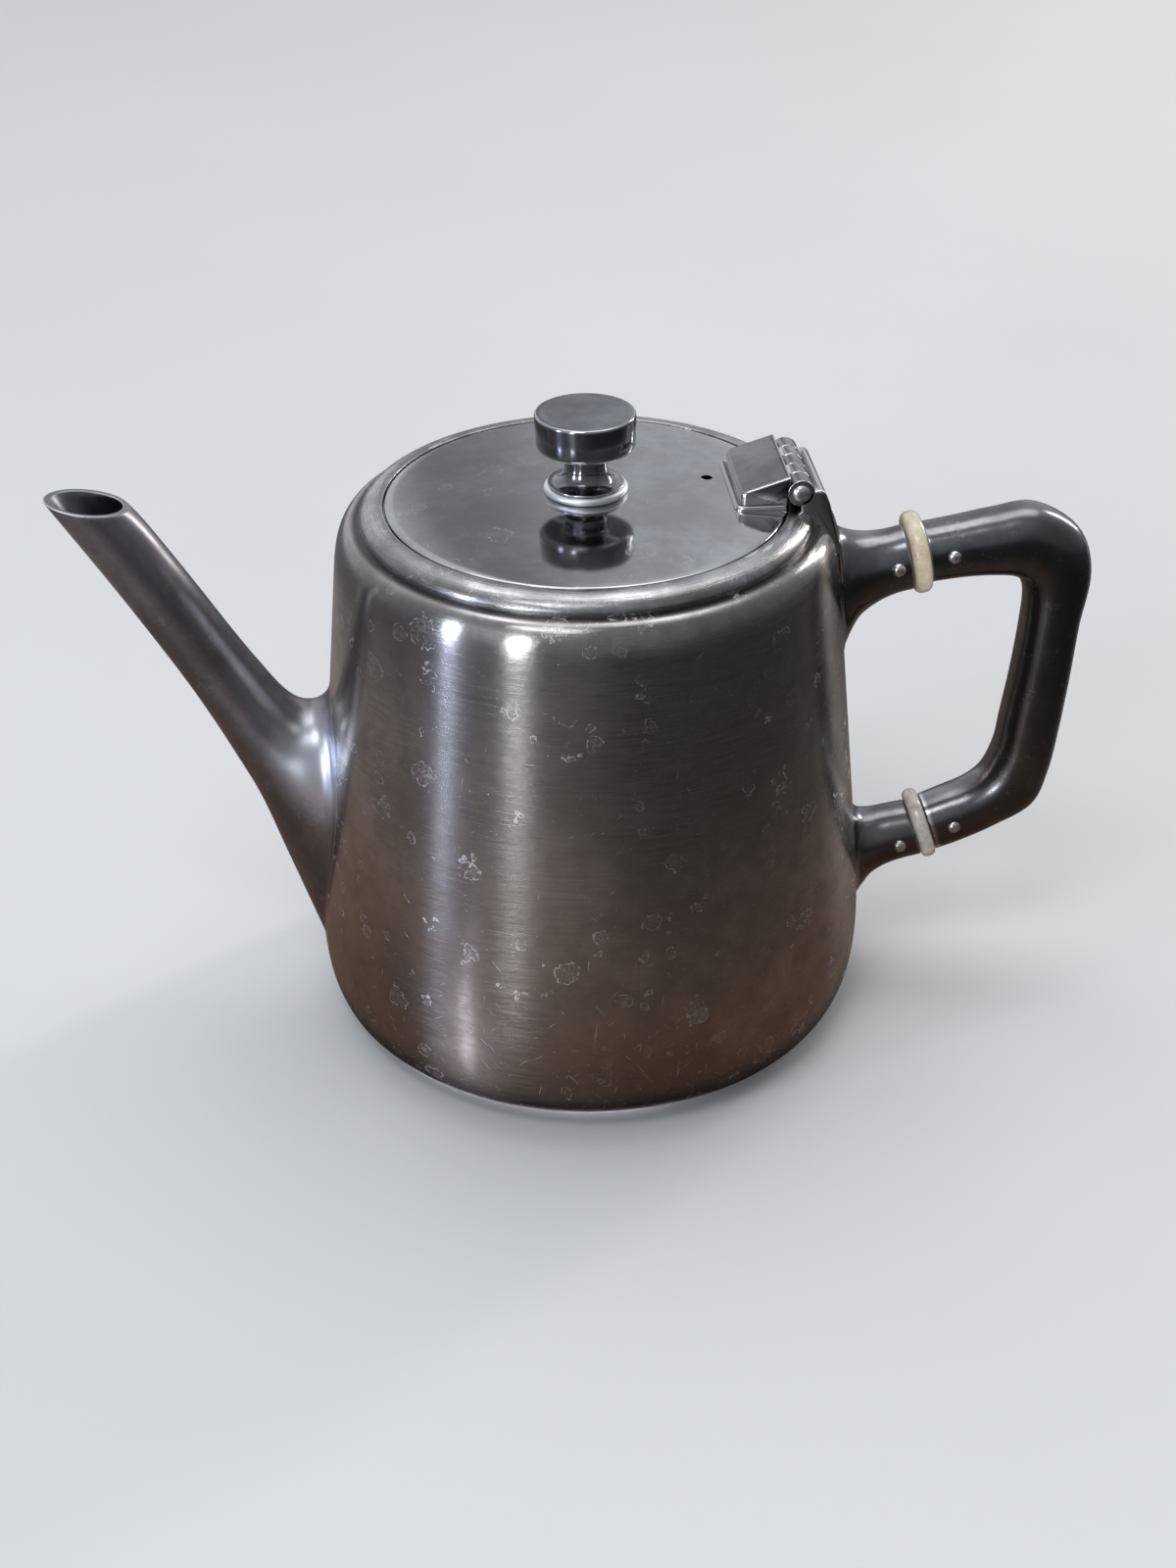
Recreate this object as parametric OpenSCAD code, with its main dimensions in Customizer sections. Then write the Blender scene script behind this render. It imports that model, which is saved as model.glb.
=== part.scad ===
// Hinged-lid teapot in silver plate: a tapered spun body, a straight spout, a drum knob
// and a loop handle set between two insulating rings. All lengths are in millimetres.
// The body axis is Z and the foot stands on z = 0. The spout points to -X, the handle to +X.

/* [Body] */
// Outer radius of the wall where the lower curve meets the straight taper
body_r = 52.5; // [49:0.5:56]
// Height where the lower curve meets the straight taper
curve_z = 34.3; // [31:0.1:38]
// Radius that the wall loses for each millimetre of height
wall_taper = 0.1; // [0.08:0.005:0.12]
// Height where the straight taper ends and the shoulder begins
shoulder_z = 94.5; // [94:0.1:95.5]
// Height of the flat land that the mouth ring stands on
land_z = 103.4; // [102.8:0.1:104.2]
// Outer radius of the land, where the shoulder ends
land_r = 41.9; // [41.6:0.1:43]
// Thickness of the spun sheet
sheet = 1.2; // [0.8:0.1:1.5]
// Outer radius of the foot ring
foot_r = 46.5; // [45:0.5:48]
// Height of the foot ring
foot_h = 2.6; // [2.4:0.1:3]

/* [Mouth ring] */
// Outer radius of the mouth ring, just inside the land's edge
ring_r = 41.4; // [41.1:0.1:41.5]
// Height of the ring's straight step above the land
ring_step = 0.6; // [0.4:0.1:1]
// Height of the ring's crown
ring_top_z = 106.65; // [106.2:0.05:107]
// Radius of the mouth, inside the ledge that the lid rests on
mouth_r = 34.6; // [34.5:0.1:35]

/* [Lid] */
// Outer radius of the lid
lid_r = 36.6; // [36.4:0.1:36.7]
// Height of the lid's edge above the table
lid_edge_z = 106.6; // [106.4:0.05:106.7]
// Rise of the lid from its edge to its centre
lid_crown = 1.35; // [1:0.05:1.6]
// Diameter of the steam vent
vent_d = 2.1; // [1.5:0.1:3]
// Depth of the bezel that hangs inside the mouth
bezel_h = 4; // [3:0.5:4]
// Outer radius of the bezel
bezel_r = 33.8; // [33.4:0.1:33.9]

/* [Knob] */
// Radius of the knob's drum
knob_r = 9.15; // [8.5:0.05:10]
// Height of the knob's drum
drum_h = 6.85; // [6:0.05:7.2]
// Overall height of the knob above the lid
knob_h = 15.25; // [15:0.05:16]
// Radius of the waist
waist_r = 3.9; // [3.4:0.1:4.4]
// Radius of the knob's foot
knob_foot_r = 7.65; // [7.2:0.05:8]
// Radius of the knob's stud
stud_r = 1.5; // [1.3:0.1:1.6]

/* [Hinge] */
// Distance of the hinge axis from the body axis
hinge_x = 37.8; // [37.7:0.1:38.2]
// Height of the hinge axis
hinge_z = 109.9; // [109.8:0.1:110.3]
// Width of the hinge
hinge_w = 20; // [18:1:22]
// Outer radius of the knuckles
knuckle_r = 2.5; // [2.3:0.05:2.6]
// Radius of the hinge pin
pin_r = 1.2; // [1:0.05:1.3]
// Thickness of the bracket's strap on the wall
strap_t = 0.7; // [0.5:0.1:0.9]

/* [Spout] */
// Thickness of the spout's wall
spout_wall = 1.2; // [0.8:0.1:1.4]
// Half the width of the spout's root on the wall
root_half_w = 12; // [11:0.5:13]
// Radius of a strainer hole
strainer_r = 1.3; // [1:0.1:1.5]

/* [Handle] */
// Radius of the upper insulating ring
upper_ring_r = 7.8; // [7:0.1:8.2]
// Thickness of the upper insulating ring
upper_ring_t = 3.4; // [3:0.1:3.4]
// Radius of the lower insulating ring
lower_ring_r = 7.1; // [6.6:0.1:7.6]
// Thickness of the lower insulating ring
lower_ring_t = 3; // [2.6:0.1:3]
// Radius of the tenons that join the rings to the sockets and the grip
tenon_r = 3.9; // [3.5:0.1:4.1]
// Radius of the cross pins
cross_pin_r = 1.25; // [1:0.05:1.4]

/* [Hidden] */
$fn = 96;
slip = 0.02;                 // gap at a soldered or seated face
hole_gap = 0.03;             // radial gap of a pin in its own fixed hole
running_gap = 0.05;          // radial gap of the lid's knuckles on the hinge pin
knuckle_gap = 0.05;          // side gap between neighbouring knuckles
knuckle_w = hinge_w / 5;     // five knuckles share the hinge's width
lower_power = 2.8;           // fullness of the lower curve
shoulder_power = 2.77;       // fullness of the shoulder
foot_step = 1;               // how far the body's lower edge stands inside the foot ring's rim
strap_top_z = 98;            // height on the wall where the hinge bracket's strap begins to narrow
bottom_rise = 2.4;           // how far the bottom is raised above the foot ring's top
foot_ring_w = 3.2;           // width of the foot ring's section
curve_steps = 12;            // segments in each curve of the profile
lid_sheet = 1.2;             // thickness of the lid
lid_power = 2.8;             // flatness of the lid's middle
lid_seat_z = lid_edge_z - lid_sheet;
mouth_bore_r = lid_r + 0.35; // bore that the lid drops into
opening_r = 38.4;            // opening cut in the body's land
foot_inset = wall_r(foot_h) - foot_r + foot_step;
shoulder_inset = wall_r(land_z) - land_r;
knob_pad_z = lid_z(knob_foot_r);
knob_top_z = knob_pad_z + knob_h;
side_points = 28;            // points round each lofted section

// Stations of a loft, from its free end to its root. Each one is
// [reach of the upper line, its height, reach of the lower line, its height,
//  half width, place of the widest point from 0 (top) to 1 (bottom), sharpness of the tail].
// Reach is measured outwards from the radius body_r. The root's reach follows the wall.
spout_stations = [
    [29.3, 108.5, 44.3, 111.0, 5.9, 0.50, 1.0],
    [26.3, 104.3, 36.7,  98.3, 6.0, 0.50, 1.0],
    [20.0,  93.9, 30.5,  87.6, 6.2, 0.50, 1.0],
    [12.7,  81.4, 23.5,  74.9, 6.4, 0.50, 1.0],
    [ 8.6,  74.8, 19.0,  65.9, 6.9, 0.49, 1.0],
    [ 5.2,  69.6, 15.1,  57.3, 7.9, 0.46, 1.05],
    [ 2.3,  66.7, 11.1,  47.6, 9.4, 0.42, 1.15],
    [-0.6,  66.2,  7.1,  34.2, root_half_w - 1.1, 0.36, 1.25],
    [-3.0,  67.1,  0.9,  13.6, root_half_w, 0.32, 1.35]
];
upper_socket_stations = [
    [ 6.67, 97.6,  8.97, 85.3, 5.85, 0.50, 1.0],
    [ 3.7,  96.9,  5.9, 84.6, 5.85, 0.50, 1.0],
    [ 0.7,  96.6,  2.5, 83.0, 6.0,  0.48, 1.0],
    [-2.1,  96.8, -0.8, 80.1, 6.5,  0.44, 1.1],
    [-4.0,  97.3, -2.6, 76.3, 7.1,  0.40, 1.2],
    [-5.4,  98.0, -3.0, 71.8, 7.9,  0.36, 1.35]
];
lower_socket_stations = [
    [10.99, 36.3, 14.61, 25.5, 5.85, 0.50, 1.0],
    [ 7.1,  35.7, 10.7, 24.6, 5.85, 0.50, 1.0],
    [ 4.3,  35.2,  7.2, 23.3, 6.0,  0.48, 1.0],
    [ 2.1,  35.2,  4.5, 21.2, 6.5,  0.44, 1.1],
    [ 0.8,  35.6,  2.8, 18.4, 7.1,  0.40, 1.2],
    [-0.2,  36.6,  1.0, 14.8, 7.9,  0.36, 1.35]
];

// Stations of the grip, from the upper ring to the lower one. Each one is
// [reach of the outer line, its height, reach of the inner line, its height, half width].
grip_stations = [
    [10.13, 97.8, 12.19, 86.8, 5.5],
    [17.0,  98.95, 18.4, 87.45, 5.6],
    [23.7, 100.2, 24.3, 87.5, 5.8],
    [31.8, 101.0, 28.4, 86.9, 6.0],
    [40.1,  95.9, 30.1, 85.1, 6.1],
    [43.1,  87.6, 30.9, 81.8, 6.1],
    [42.0,  76.5, 30.8, 75.5, 6.1],
    [41.3,  65.0, 30.0, 65.5, 6.1],
    [40.3,  53.0, 28.8, 55.7, 6.1],
    [39.1,  43.8, 28.0, 49.3, 6.1],
    [36.5,  36.4, 26.0, 44.0, 6.1],
    [28.9,  31.6, 23.0, 41.1, 5.9],
    [22.7,  28.6, 18.2, 39.1, 5.7],
    [17.44, 26.6, 13.86, 37.3, 5.5]
];
grip_power = 2.3;            // squareness of the grip's section

// Each insulating ring: reach and height of its centre, upward tilt of the arm through it,
// distances to the socket's and the grip's cross pin, radius and thickness
upper_joint = [9.4, 92.35, 10.6, 4.4, 6.2, upper_ring_r, upper_ring_t];
lower_joint = [14.1, 31.8, 18.5, 5.2, 6.2, lower_ring_r, lower_ring_t];
tenon_l = 9.2;               // length of a tenon beyond the ring's face
tenon_gap = 0.05;            // radial gap round a tenon

silver = "#8d8984";
dark_silver = "#5f5b57";
bright_silver = "#b4b2af";
cream = "#c9b88c";
grey_ivory = "#a79d8c";

// ---- Curves of the body ----

// Radius of the straight taper at height z
function wall_r(z) = body_r - wall_taper * (z - curve_z);

// Share of a corner's inset that a superellipse has used up at t, from 0 to 1
function corner(t, power) = 1 - pow(max(0, 1 - pow(min(1, max(0, t)), power)), 1 / power);

// Outer radius of the body at height z
function body_r_at(z) =
    z < curve_z
        ? wall_r(z) - foot_inset * corner((curve_z - z) / (curve_z - foot_h), lower_power)
        : z > shoulder_z
            ? wall_r(z)
              - shoulder_inset * corner((z - shoulder_z) / (land_z - shoulder_z), shoulder_power)
            : wall_r(z);

// Heights of the lower curve, from the foot up, and of the shoulder, from the wall up
lower_zs = [for (i = [0 : curve_steps])
    curve_z - (curve_z - foot_h) * pow(cos(90 * i / curve_steps), 2 / lower_power)];
shoulder_zs = [for (i = [0 : curve_steps])
    shoulder_z + (land_z - shoulder_z) * pow(sin(90 * i / curve_steps), 2 / shoulder_power)];

shoulder_line = [for (z = shoulder_zs) [body_r_at(z), z]];
body_line = concat(
    [[0, foot_h + bottom_rise], [foot_r * 0.4, foot_h + bottom_rise],
     [foot_r * 0.8, foot_h + bottom_rise * 0.7], [foot_r - foot_ring_w - 1.5, foot_h]],
    [for (z = lower_zs) [body_r_at(z), z]],
    shoulder_line,
    [[opening_r, land_z]]);

// A line moved to its left by a distance; negative moves it to its right
function left_of(line, distance) = [for (i = [0 : len(line) - 1])
    let (a = line[max(0, i - 1)], b = line[min(len(line) - 1, i + 1)], d = (b - a) / norm(b - a))
    line[i] + distance * [-d.y, d.x]];

function reversed(list) = [for (i = [len(list) - 1 : -1 : 0]) list[i]];

// Outer line of the mouth ring, from its foot to its crown's inner edge
ring_line = concat(
    [[ring_r, land_z]],
    [for (i = [0 : curve_steps]) let (a = 90 * i / curve_steps)
        [mouth_bore_r + 0.6 + (ring_r - mouth_bore_r - 0.6) * cos(a),
         land_z + ring_step + (ring_top_z - land_z - ring_step) * sin(a)]],
    [[mouth_bore_r, ring_top_z]]);

// Height of the lid's top at radius r
function lid_z(r) = lid_edge_z + lid_crown * (1 - pow(r / lid_r, lid_power));

lid_line = concat(
    [[0, knob_pad_z], [knob_foot_r, knob_pad_z]],
    [for (i = [1 : 7]) let (r = knob_foot_r + (lid_r - 0.3 - knob_foot_r) * i / 7) [r, lid_z(r)]],
    [[lid_r, lid_edge_z - 0.3]]);

// Solid that fills the pot up to its outside, for fitting other pieces to it
module pot_envelope(grow) {
    rotate_extrude()
        polygon(concat([[0, foot_h], [foot_r - foot_step, foot_h]],
                       left_of(concat([for (z = lower_zs) [body_r_at(z), z]], shoulder_line), -grow),
                       left_of(ring_line, -grow),
                       [[0, ring_top_z + grow]]));
}

// ---- Lofts ----

// Uniform cubic through b and c, with a and d as their neighbours
function through(a, b, c, d, t) =
    0.5 * (2 * b + (c - a) * t + (2 * a - 5 * b + 4 * c - d) * t * t
           + (3 * b - a - 3 * c + d) * t * t * t);

// The stations with extra ones between them, on a smooth curve
function smooth(stations, steps) = let (last = len(stations) - 1)
    concat([for (i = [0 : last - 1], k = [0 : steps - 1])
                through(stations[max(0, i - 1)], stations[i], stations[i + 1],
                        stations[min(last, i + 2)], k / steps)],
           [stations[last]]);

// One closed section of a tapering branch. side is 1 for the handle's side, -1 for the spout's,
// and inset moves it inwards for the hollow. The root lies on the pot's wall, off_wall outside it.
function branch_ring(s, side, inset, root, off_wall) =
    let (top = [s[0], s[1]], low = [s[2], s[3]], across = (top - low) / norm(top - low),
         a = top - across * inset, b = low + across * inset,
         mid = a + (b - a) * s[5], w = s[4] - inset)
    [for (i = [0 : side_points - 1])
        let (angle = 360 * i / side_points, up = sin(angle), out = cos(angle),
             p = up >= 0 ? mid + (a - mid) * up : mid + (mid - b) * up,
             y = up >= 0 ? w * out : w * sign(out) * pow(abs(out), s[6]),
             x = root ? sqrt(pow(body_r_at(p.y) + off_wall, 2) - y * y) : body_r + p.x)
        [side * x, y, p.y]];

// All the sections of a branch, from its free end to its root
function branch_rings(stations, steps, side, inset, off_wall) = let (last = len(stations) - 1)
    smooth([for (i = [0 : last]) branch_ring(stations[i], side, inset, i == last, off_wall)], steps);

// Side faces between the sections of a loft, numbered from the first point given
function skin(rings, count, first, flip) = [for (i = [0 : rings - 2], j = [0 : count - 1])
    let (a = first + i * count + j, b = first + i * count + (j + 1) % count,
         c = b + count, d = a + count)
    each (flip ? [[a, b, c], [a, c, d]] : [[a, c, b], [a, d, c]])];

// Closed solid through a list of rings, capped at both ends
module loft(rings, flip) {
    count = len(rings[0]);
    n = len(rings);
    first = [for (j = [0 : count - 1]) j];
    last = [for (j = [0 : count - 1]) (n - 1) * count + j];
    polyhedron(points = [for (r = rings) each r],
               faces = concat(skin(n, count, 0, flip),
                              [flip ? reversed(first) : first],
                              [flip ? last : reversed(last)]));
}

// Tube between an outer and an inner list of rings
module tube_loft(outer, inner, flip) {
    count = len(outer[0]);
    n = len(outer);
    start = n * count;
    polyhedron(
        points = concat([for (r = outer) each r], [for (r = inner) each r]),
        faces = concat(
            skin(n, count, 0, flip),
            skin(n, count, start, !flip),
            [for (j = [0 : count - 1], e = [0, 1])
                let (a = e * (n - 1) * count, k = (j + 1) % count,
                     quad = [a + j, a + k, start + a + k, start + a + j])
                each (((e == 0) != flip)
                    ? [[quad[0], quad[1], quad[2]], [quad[0], quad[2], quad[3]]]
                    : [[quad[0], quad[2], quad[1]], [quad[0], quad[3], quad[2]]])]));
}

// ---- Body ----

// Rows of strainer holes: [height, number of holes]
strainer_rows = [[61.5, 2], [57.2, 3], [52.9, 4], [48.6, 3], [44.3, 2]];
strainer_pitch = 4.6;

module body_shell() {
    color(silver)
    difference() {
        rotate_extrude() polygon(concat(body_line, reversed(left_of(body_line, sheet))));
        for (row = strainer_rows, i = [0 : row[1] - 1])
            translate([-body_r, (i - (row[1] - 1) / 2) * strainer_pitch, row[0]])
                rotate([0, 90, 0]) cylinder(r = strainer_r, h = 4 * sheet + 4, center = true, $fn = 24);
    }
}

module foot_ring() {
    color(silver)
    rotate_extrude()
        polygon(concat([[foot_r - foot_ring_w, 0.4], [foot_r - foot_ring_w + 0.4, 0],
                        [foot_r - 0.8, 0], [foot_r - 0.2, 0.5]],
                       [for (a = [-30 : 15 : 90])
                           [foot_r - foot_step + foot_step * cos(a),
                            foot_h - slip - foot_step + foot_step * sin(a)]],
                       [[foot_r - foot_ring_w, foot_h - slip]]));
}

module mouth_ring() {
    color(silver)
    rotate_extrude()
        polygon(concat([[mouth_r, land_z - sheet], [opening_r - slip, land_z - sheet],
                        [opening_r - slip, land_z + slip], [ring_r, land_z + slip]],
                       [for (i = [1 : len(ring_line) - 1]) ring_line[i]],
                       [[mouth_bore_r, lid_seat_z - slip], [mouth_r, lid_seat_z - slip]]));
}

// ---- Spout and sockets ----

module spout() {
    steps = 3;
    color(dark_silver)
    tube_loft(branch_rings(spout_stations, steps, -1, 0, slip * 2.5),
              branch_rings(spout_stations, steps, -1, spout_wall, slip * 2.5), true);
}

// Solid socket arm, rooted on the pot and bored for the tenon and the cross pin
module socket(stations, joint, off_wall) {
    root_depth = 4;
    difference() {
        loft(concat(branch_rings(stations, 3, 1, 0, off_wall),
                    [[for (p = branch_ring(stations[len(stations) - 1], 1, 0, true, off_wall))
                        p - [root_depth, 0, 0]]]), false);
        at_joint(joint) {
            rotate([0, -90, 0]) cylinder(r = tenon_r + tenon_gap, h = joint[6] / 2 + tenon_l + 0.5);
            translate([-joint[3], 0, 0]) cross_hole(cross_pin_r + hole_gap);
        }
        pot_envelope(off_wall);
    }
}

// Moves to the centre of an insulating ring, with X along the arm
module at_joint(joint) {
    translate([body_r + joint[0], 0, joint[1]]) rotate([0, -joint[2], 0]) children();
}

module cross_hole(r) {
    rotate([90, 0, 0]) cylinder(r = r, h = 20, center = true, $fn = 32);
}

module upper_socket() {
    color(dark_silver) socket(upper_socket_stations, upper_joint, strap_t + 2 * slip);
}

module lower_socket() {
    color(dark_silver) socket(lower_socket_stations, lower_joint, slip);
}

// ---- Handle ----

// Ring with a rounded rim and a tenon on each side, drilled for both cross pins
module insulator(joint) {
    rim = joint[6] / 2 - slip;
    rim_round = joint[5] - rim;
    at_joint(joint)
        difference() {
            rotate([0, 90, 0])
                rotate_extrude()
                    polygon(concat(
                        [[0, -rim - tenon_l], [tenon_r, -rim - tenon_l], [tenon_r, -rim]],
                        [for (i = [0 : 8]) let (a = -90 + 180 * i / 8)
                            [rim_round + rim * cos(a), rim * sin(a)]],
                        [[tenon_r, rim], [tenon_r, rim + tenon_l], [0, rim + tenon_l]]));
            translate([-joint[3], 0, 0]) cross_hole(cross_pin_r + hole_gap);
            translate([joint[4], 0, 0]) cross_hole(cross_pin_r + hole_gap);
        }
}

module upper_insulator() { color(cream) insulator(upper_joint); }
module lower_insulator() { color(grey_ivory) insulator(lower_joint); }

// One closed section of the grip, a rounded square between its outer and inner lines
function grip_ring(s) =
    let (outer = [s[0], s[1]], inner = [s[2], s[3]], mid = (outer + inner) / 2,
         half = (outer - inner) / 2)
    [for (i = [0 : side_points - 1])
        let (angle = 360 * i / side_points, c = cos(angle), q = sin(angle),
             u = sign(q) * pow(abs(q), 2 / grip_power), v = sign(c) * pow(abs(c), 2 / grip_power))
        [body_r + mid.x + half.x * u, s[4] * v, mid.y + half.y * u]];

module handle_grip() {
    color(dark_silver)
    difference() {
        loft([for (s = smooth(grip_stations, 3)) grip_ring(s)], true);
        for (joint = [upper_joint, lower_joint])
            at_joint(joint) {
                rotate([0, 90, 0]) cylinder(r = tenon_r + tenon_gap, h = joint[6] / 2 + tenon_l + 0.5);
                translate([joint[4], 0, 0]) cross_hole(cross_pin_r + hole_gap);
            }
    }
}

// Round rod along Y with a dome on each end
module domed_rod(r, length, head_r, dome_h) {
    dome = [for (i = [0 : 6]) let (a = 90 * i / 6) [head_r * cos(a), length / 2 + dome_h * sin(a)]];
    rotate([90, 0, 0])
        rotate_extrude($fn = 32)
            polygon(concat([[0, -length / 2 - dome_h]],
                           [for (i = [5 : -1 : 0]) [dome[i].x, -dome[i].y]],
                           [[r, -length / 2], [r, length / 2]],
                           [for (i = [0 : 5]) dome[i]],
                           [[0, length / 2 + dome_h]]));
}

module cross_pin(joint, along, arm_half_w) {
    color(bright_silver)
    at_joint(joint) translate([along, 0, 0])
        domed_rod(cross_pin_r, 2 * arm_half_w - 0.2, cross_pin_r - 0.01, 0.8);
}

module upper_socket_pin() { cross_pin(upper_joint, -upper_joint[3], upper_socket_stations[0][4]); }
module upper_grip_pin() { cross_pin(upper_joint, upper_joint[4], grip_stations[0][4]); }
module lower_socket_pin() { cross_pin(lower_joint, -lower_joint[3], lower_socket_stations[0][4]); }
module lower_grip_pin() { cross_pin(lower_joint, lower_joint[4], grip_stations[0][4]); }

// ---- Hinge ----

// Prism across the hinge from an outline in X and Z
module across(outline, width) {
    rotate([90, 0, 0]) linear_extrude(height = width, center = true) polygon(outline);
}

// Rods round the hinge axis in the knuckle places listed, 0 to 4 from the far side
module knuckles(places, r, gap) {
    for (k = places)
        translate([hinge_x, -hinge_w / 2 + (k + 0.5) * knuckle_w, hinge_z])
            rotate([90, 0, 0]) cylinder(r = r, h = knuckle_w - 2 * gap, center = true, $fn = 64);
}

module pin_bore(r) {
    translate([hinge_x, 0, hinge_z])
        rotate([90, 0, 0]) cylinder(r = r, h = hinge_w + 4, center = true, $fn = 64);
}

pot_places = [0, 2, 4];
lid_places = [1, 3];
pocket_r = knuckle_r + 0.25;

// Web behind the barrel, from the ridge down over the mouth ring and the shoulder
bracket_outline = [
    [hinge_x, hinge_z - knuckle_r], [hinge_x + 1, land_z - 3],
    [wall_r(strap_top_z) - 3, strap_top_z - 2], [wall_r(strap_top_z) - 0.9, strap_top_z],
    [hinge_x + 6.1, hinge_z - 5.2],
    [hinge_x + 4.5, hinge_z - 0.3], [hinge_x + 3.9, hinge_z + 0.4], [hinge_x, hinge_z + 0.1]
];
// Half of the strap's outline on the wall, from its square top to its pointed tail
strap_half = [[hinge_w / 2, land_z], [hinge_w / 2, strap_top_z + 1], [hinge_w / 2 - 1.4, strap_top_z - 6],
              [hinge_w / 2 - 3.6, strap_top_z - 16], [0, strap_top_z - 27.5]];

module strap() {
    line = concat([[body_r_at(strap_top_z - 30), strap_top_z - 30]], shoulder_line);
    intersection() {
        rotate_extrude() polygon(concat(left_of(line, -slip), reversed(left_of(line, -strap_t - slip))));
        rotate([90, 0, 90]) linear_extrude(height = body_r * 2)
            polygon(concat(strap_half, [for (i = [len(strap_half) - 2 : -1 : 0])
                                            [-strap_half[i].x, strap_half[i].y]]));
    }
}

module hinge_bracket() {
    color(dark_silver)
    difference() {
        union() {
            difference() {
                union() {
                    across(bracket_outline, hinge_w);
                    knuckles(pot_places, knuckle_r, 0);
                }
                pot_envelope(slip);
            }
            strap();
        }
        knuckles(lid_places, pocket_r, -knuckle_gap);
        pin_bore(pin_r + hole_gap);
    }
}

module hinge_pin() {
    color(bright_silver)
    translate([hinge_x, 0, hinge_z]) domed_rod(pin_r, hinge_w + 2 * slip, pin_r + 0.35, 0.7);
}

// Wedge that rises towards the hinge, and the plate that it stands on
block_outline = [[hinge_x - 10.8, lid_edge_z - 0.4], [hinge_x - 2.6, lid_edge_z - 0.4],
                 [hinge_x - 1.95, hinge_z + 3.25], [hinge_x - 10.9, hinge_z + 0.45]];
plate_x = hinge_x - 12;
plate_end_x = hinge_x - 2.5;
plate_top_z = lid_edge_z + 1.5;
plate_half_w = hinge_w / 2 + 1;
plate_round = 1.5;

module hinge_plate() {
    translate([0, 0, lid_edge_z - 0.4])
        linear_extrude(height = plate_top_z - lid_edge_z + 0.4)
            union() {
                translate([plate_x + plate_round, -plate_half_w])
                    square([plate_end_x - plate_x - plate_round, 2 * plate_half_w]);
                translate([plate_x, -plate_half_w + plate_round])
                    square([2 * plate_round, 2 * (plate_half_w - plate_round)]);
                for (side = [-1, 1])
                    translate([plate_x + plate_round, side * (plate_half_w - plate_round)])
                        circle(r = plate_round, $fn = 48);
            }
}

module hinge_block() {
    color(silver)
    difference() {
        union() {
            difference() {
                union() {
                    across(block_outline, hinge_w);
                    hinge_plate();
                }
                knuckles(pot_places, pocket_r, -knuckle_gap - 0.5);
            }
            for (k = lid_places)
                translate([hinge_x - 3.5, -hinge_w / 2 + (k + 0.5) * knuckle_w - knuckle_w / 2 + knuckle_gap,
                           hinge_z - knuckle_r + 0.2])
                    cube([3.5, knuckle_w - 2 * knuckle_gap, 2 * knuckle_r - 0.4]);
            knuckles(lid_places, knuckle_r, knuckle_gap);
        }
        rotate_extrude()
            polygon(concat([[0, lid_seat_z]], left_of(lid_line, slip), [[lid_r + slip, lid_seat_z]]));
        pin_bore(pin_r + running_gap);
    }
}

// ---- Lid ----

module lid() {
    under = bezel_r - 1.4;
    color(bright_silver)
    difference() {
        rotate_extrude()
            polygon(concat([[0, knob_pad_z - lid_sheet], [knob_foot_r, knob_pad_z - lid_sheet],
                            [under, lid_seat_z], [lid_r, lid_seat_z]], reversed(lid_line)));
        translate([0, 0, lid_seat_z]) cylinder(r = stud_r + hole_gap, h = 10, center = true, $fn = 48);
        translate([lid_r * 0.62, lid_r * 0.11, lid_seat_z])
            cylinder(d = vent_d, h = 10, center = true, $fn = 32);
    }
}

module lid_bezel() {
    color(silver)
    rotate_extrude()
        polygon([[bezel_r - 1.1, lid_seat_z - bezel_h], [bezel_r - 0.2, lid_seat_z - bezel_h],
                 [bezel_r, lid_seat_z - slip], [bezel_r - 0.9, lid_seat_z - slip]]);
}

module knob() {
    drum_z = knob_top_z - drum_h;
    bead = 0.75;
    bead_z = knob_pad_z + slip + bead;
    lip_r = knob_foot_r - 0.65;
    lip_z = bead_z + 1.2;
    flare_h = 3.3;
    collar = 1;
    edge = 1;
    rim = 0.9;
    color(bright_silver)
    rotate_extrude()
        polygon(concat(
            [[0, lid_seat_z - 3.2], [stud_r, lid_seat_z - 3.2], [stud_r, knob_pad_z + slip],
             [knob_foot_r - 0.9, knob_pad_z + slip]],
            [for (i = [0 : 6]) let (a = -90 + 180 * i / 6)
                [knob_foot_r - bead + bead * cos(a), bead_z + bead * sin(a)]],
            [[lip_r, lip_z - 0.3], [lip_r, lip_z]],
            [for (i = [0 : 6]) let (a = 90 * i / 6)
                [waist_r + (lip_r - 0.2 - waist_r) * (1 - sin(a)), lip_z + flare_h * (1 - cos(a))]],
            [for (i = [0 : 4]) let (a = 90 * i / 4)
                [waist_r + collar * (1 - cos(a)), drum_z - collar + collar * sin(a)]],
            [for (i = [0 : 5]) let (a = -90 + 90 * i / 5)
                [knob_r - edge + edge * cos(a), drum_z + edge + edge * sin(a)]],
            [for (i = [0 : 3]) let (a = 90 * i / 3)
                [knob_r - rim + rim * cos(a), knob_top_z - 0.6 + 0.6 * sin(a)]],
            [[knob_r - 1.5, knob_top_z - 0.15], [0, knob_top_z - 0.15]]));
}

washer_t = 0.8;
washer_z = knob_pad_z - lid_sheet - slip - washer_t;

module knob_washer() {
    color(bright_silver)
    translate([0, 0, washer_z])
        difference() {
            cylinder(r = 4, h = washer_t, $fn = 64);
            cylinder(r = stud_r + 2 * hole_gap, h = 3, center = true, $fn = 48);
        }
}

module knob_nut() {
    nut_h = 2.4;
    across_flats = 6;
    color(bright_silver)
    translate([0, 0, washer_z - slip - nut_h])
        difference() {
            cylinder(r = across_flats / 2 / cos(30), h = nut_h, $fn = 6);
            cylinder(r = stud_r + hole_gap, h = 3 * nut_h, center = true, $fn = 48);
        }
}

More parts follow.
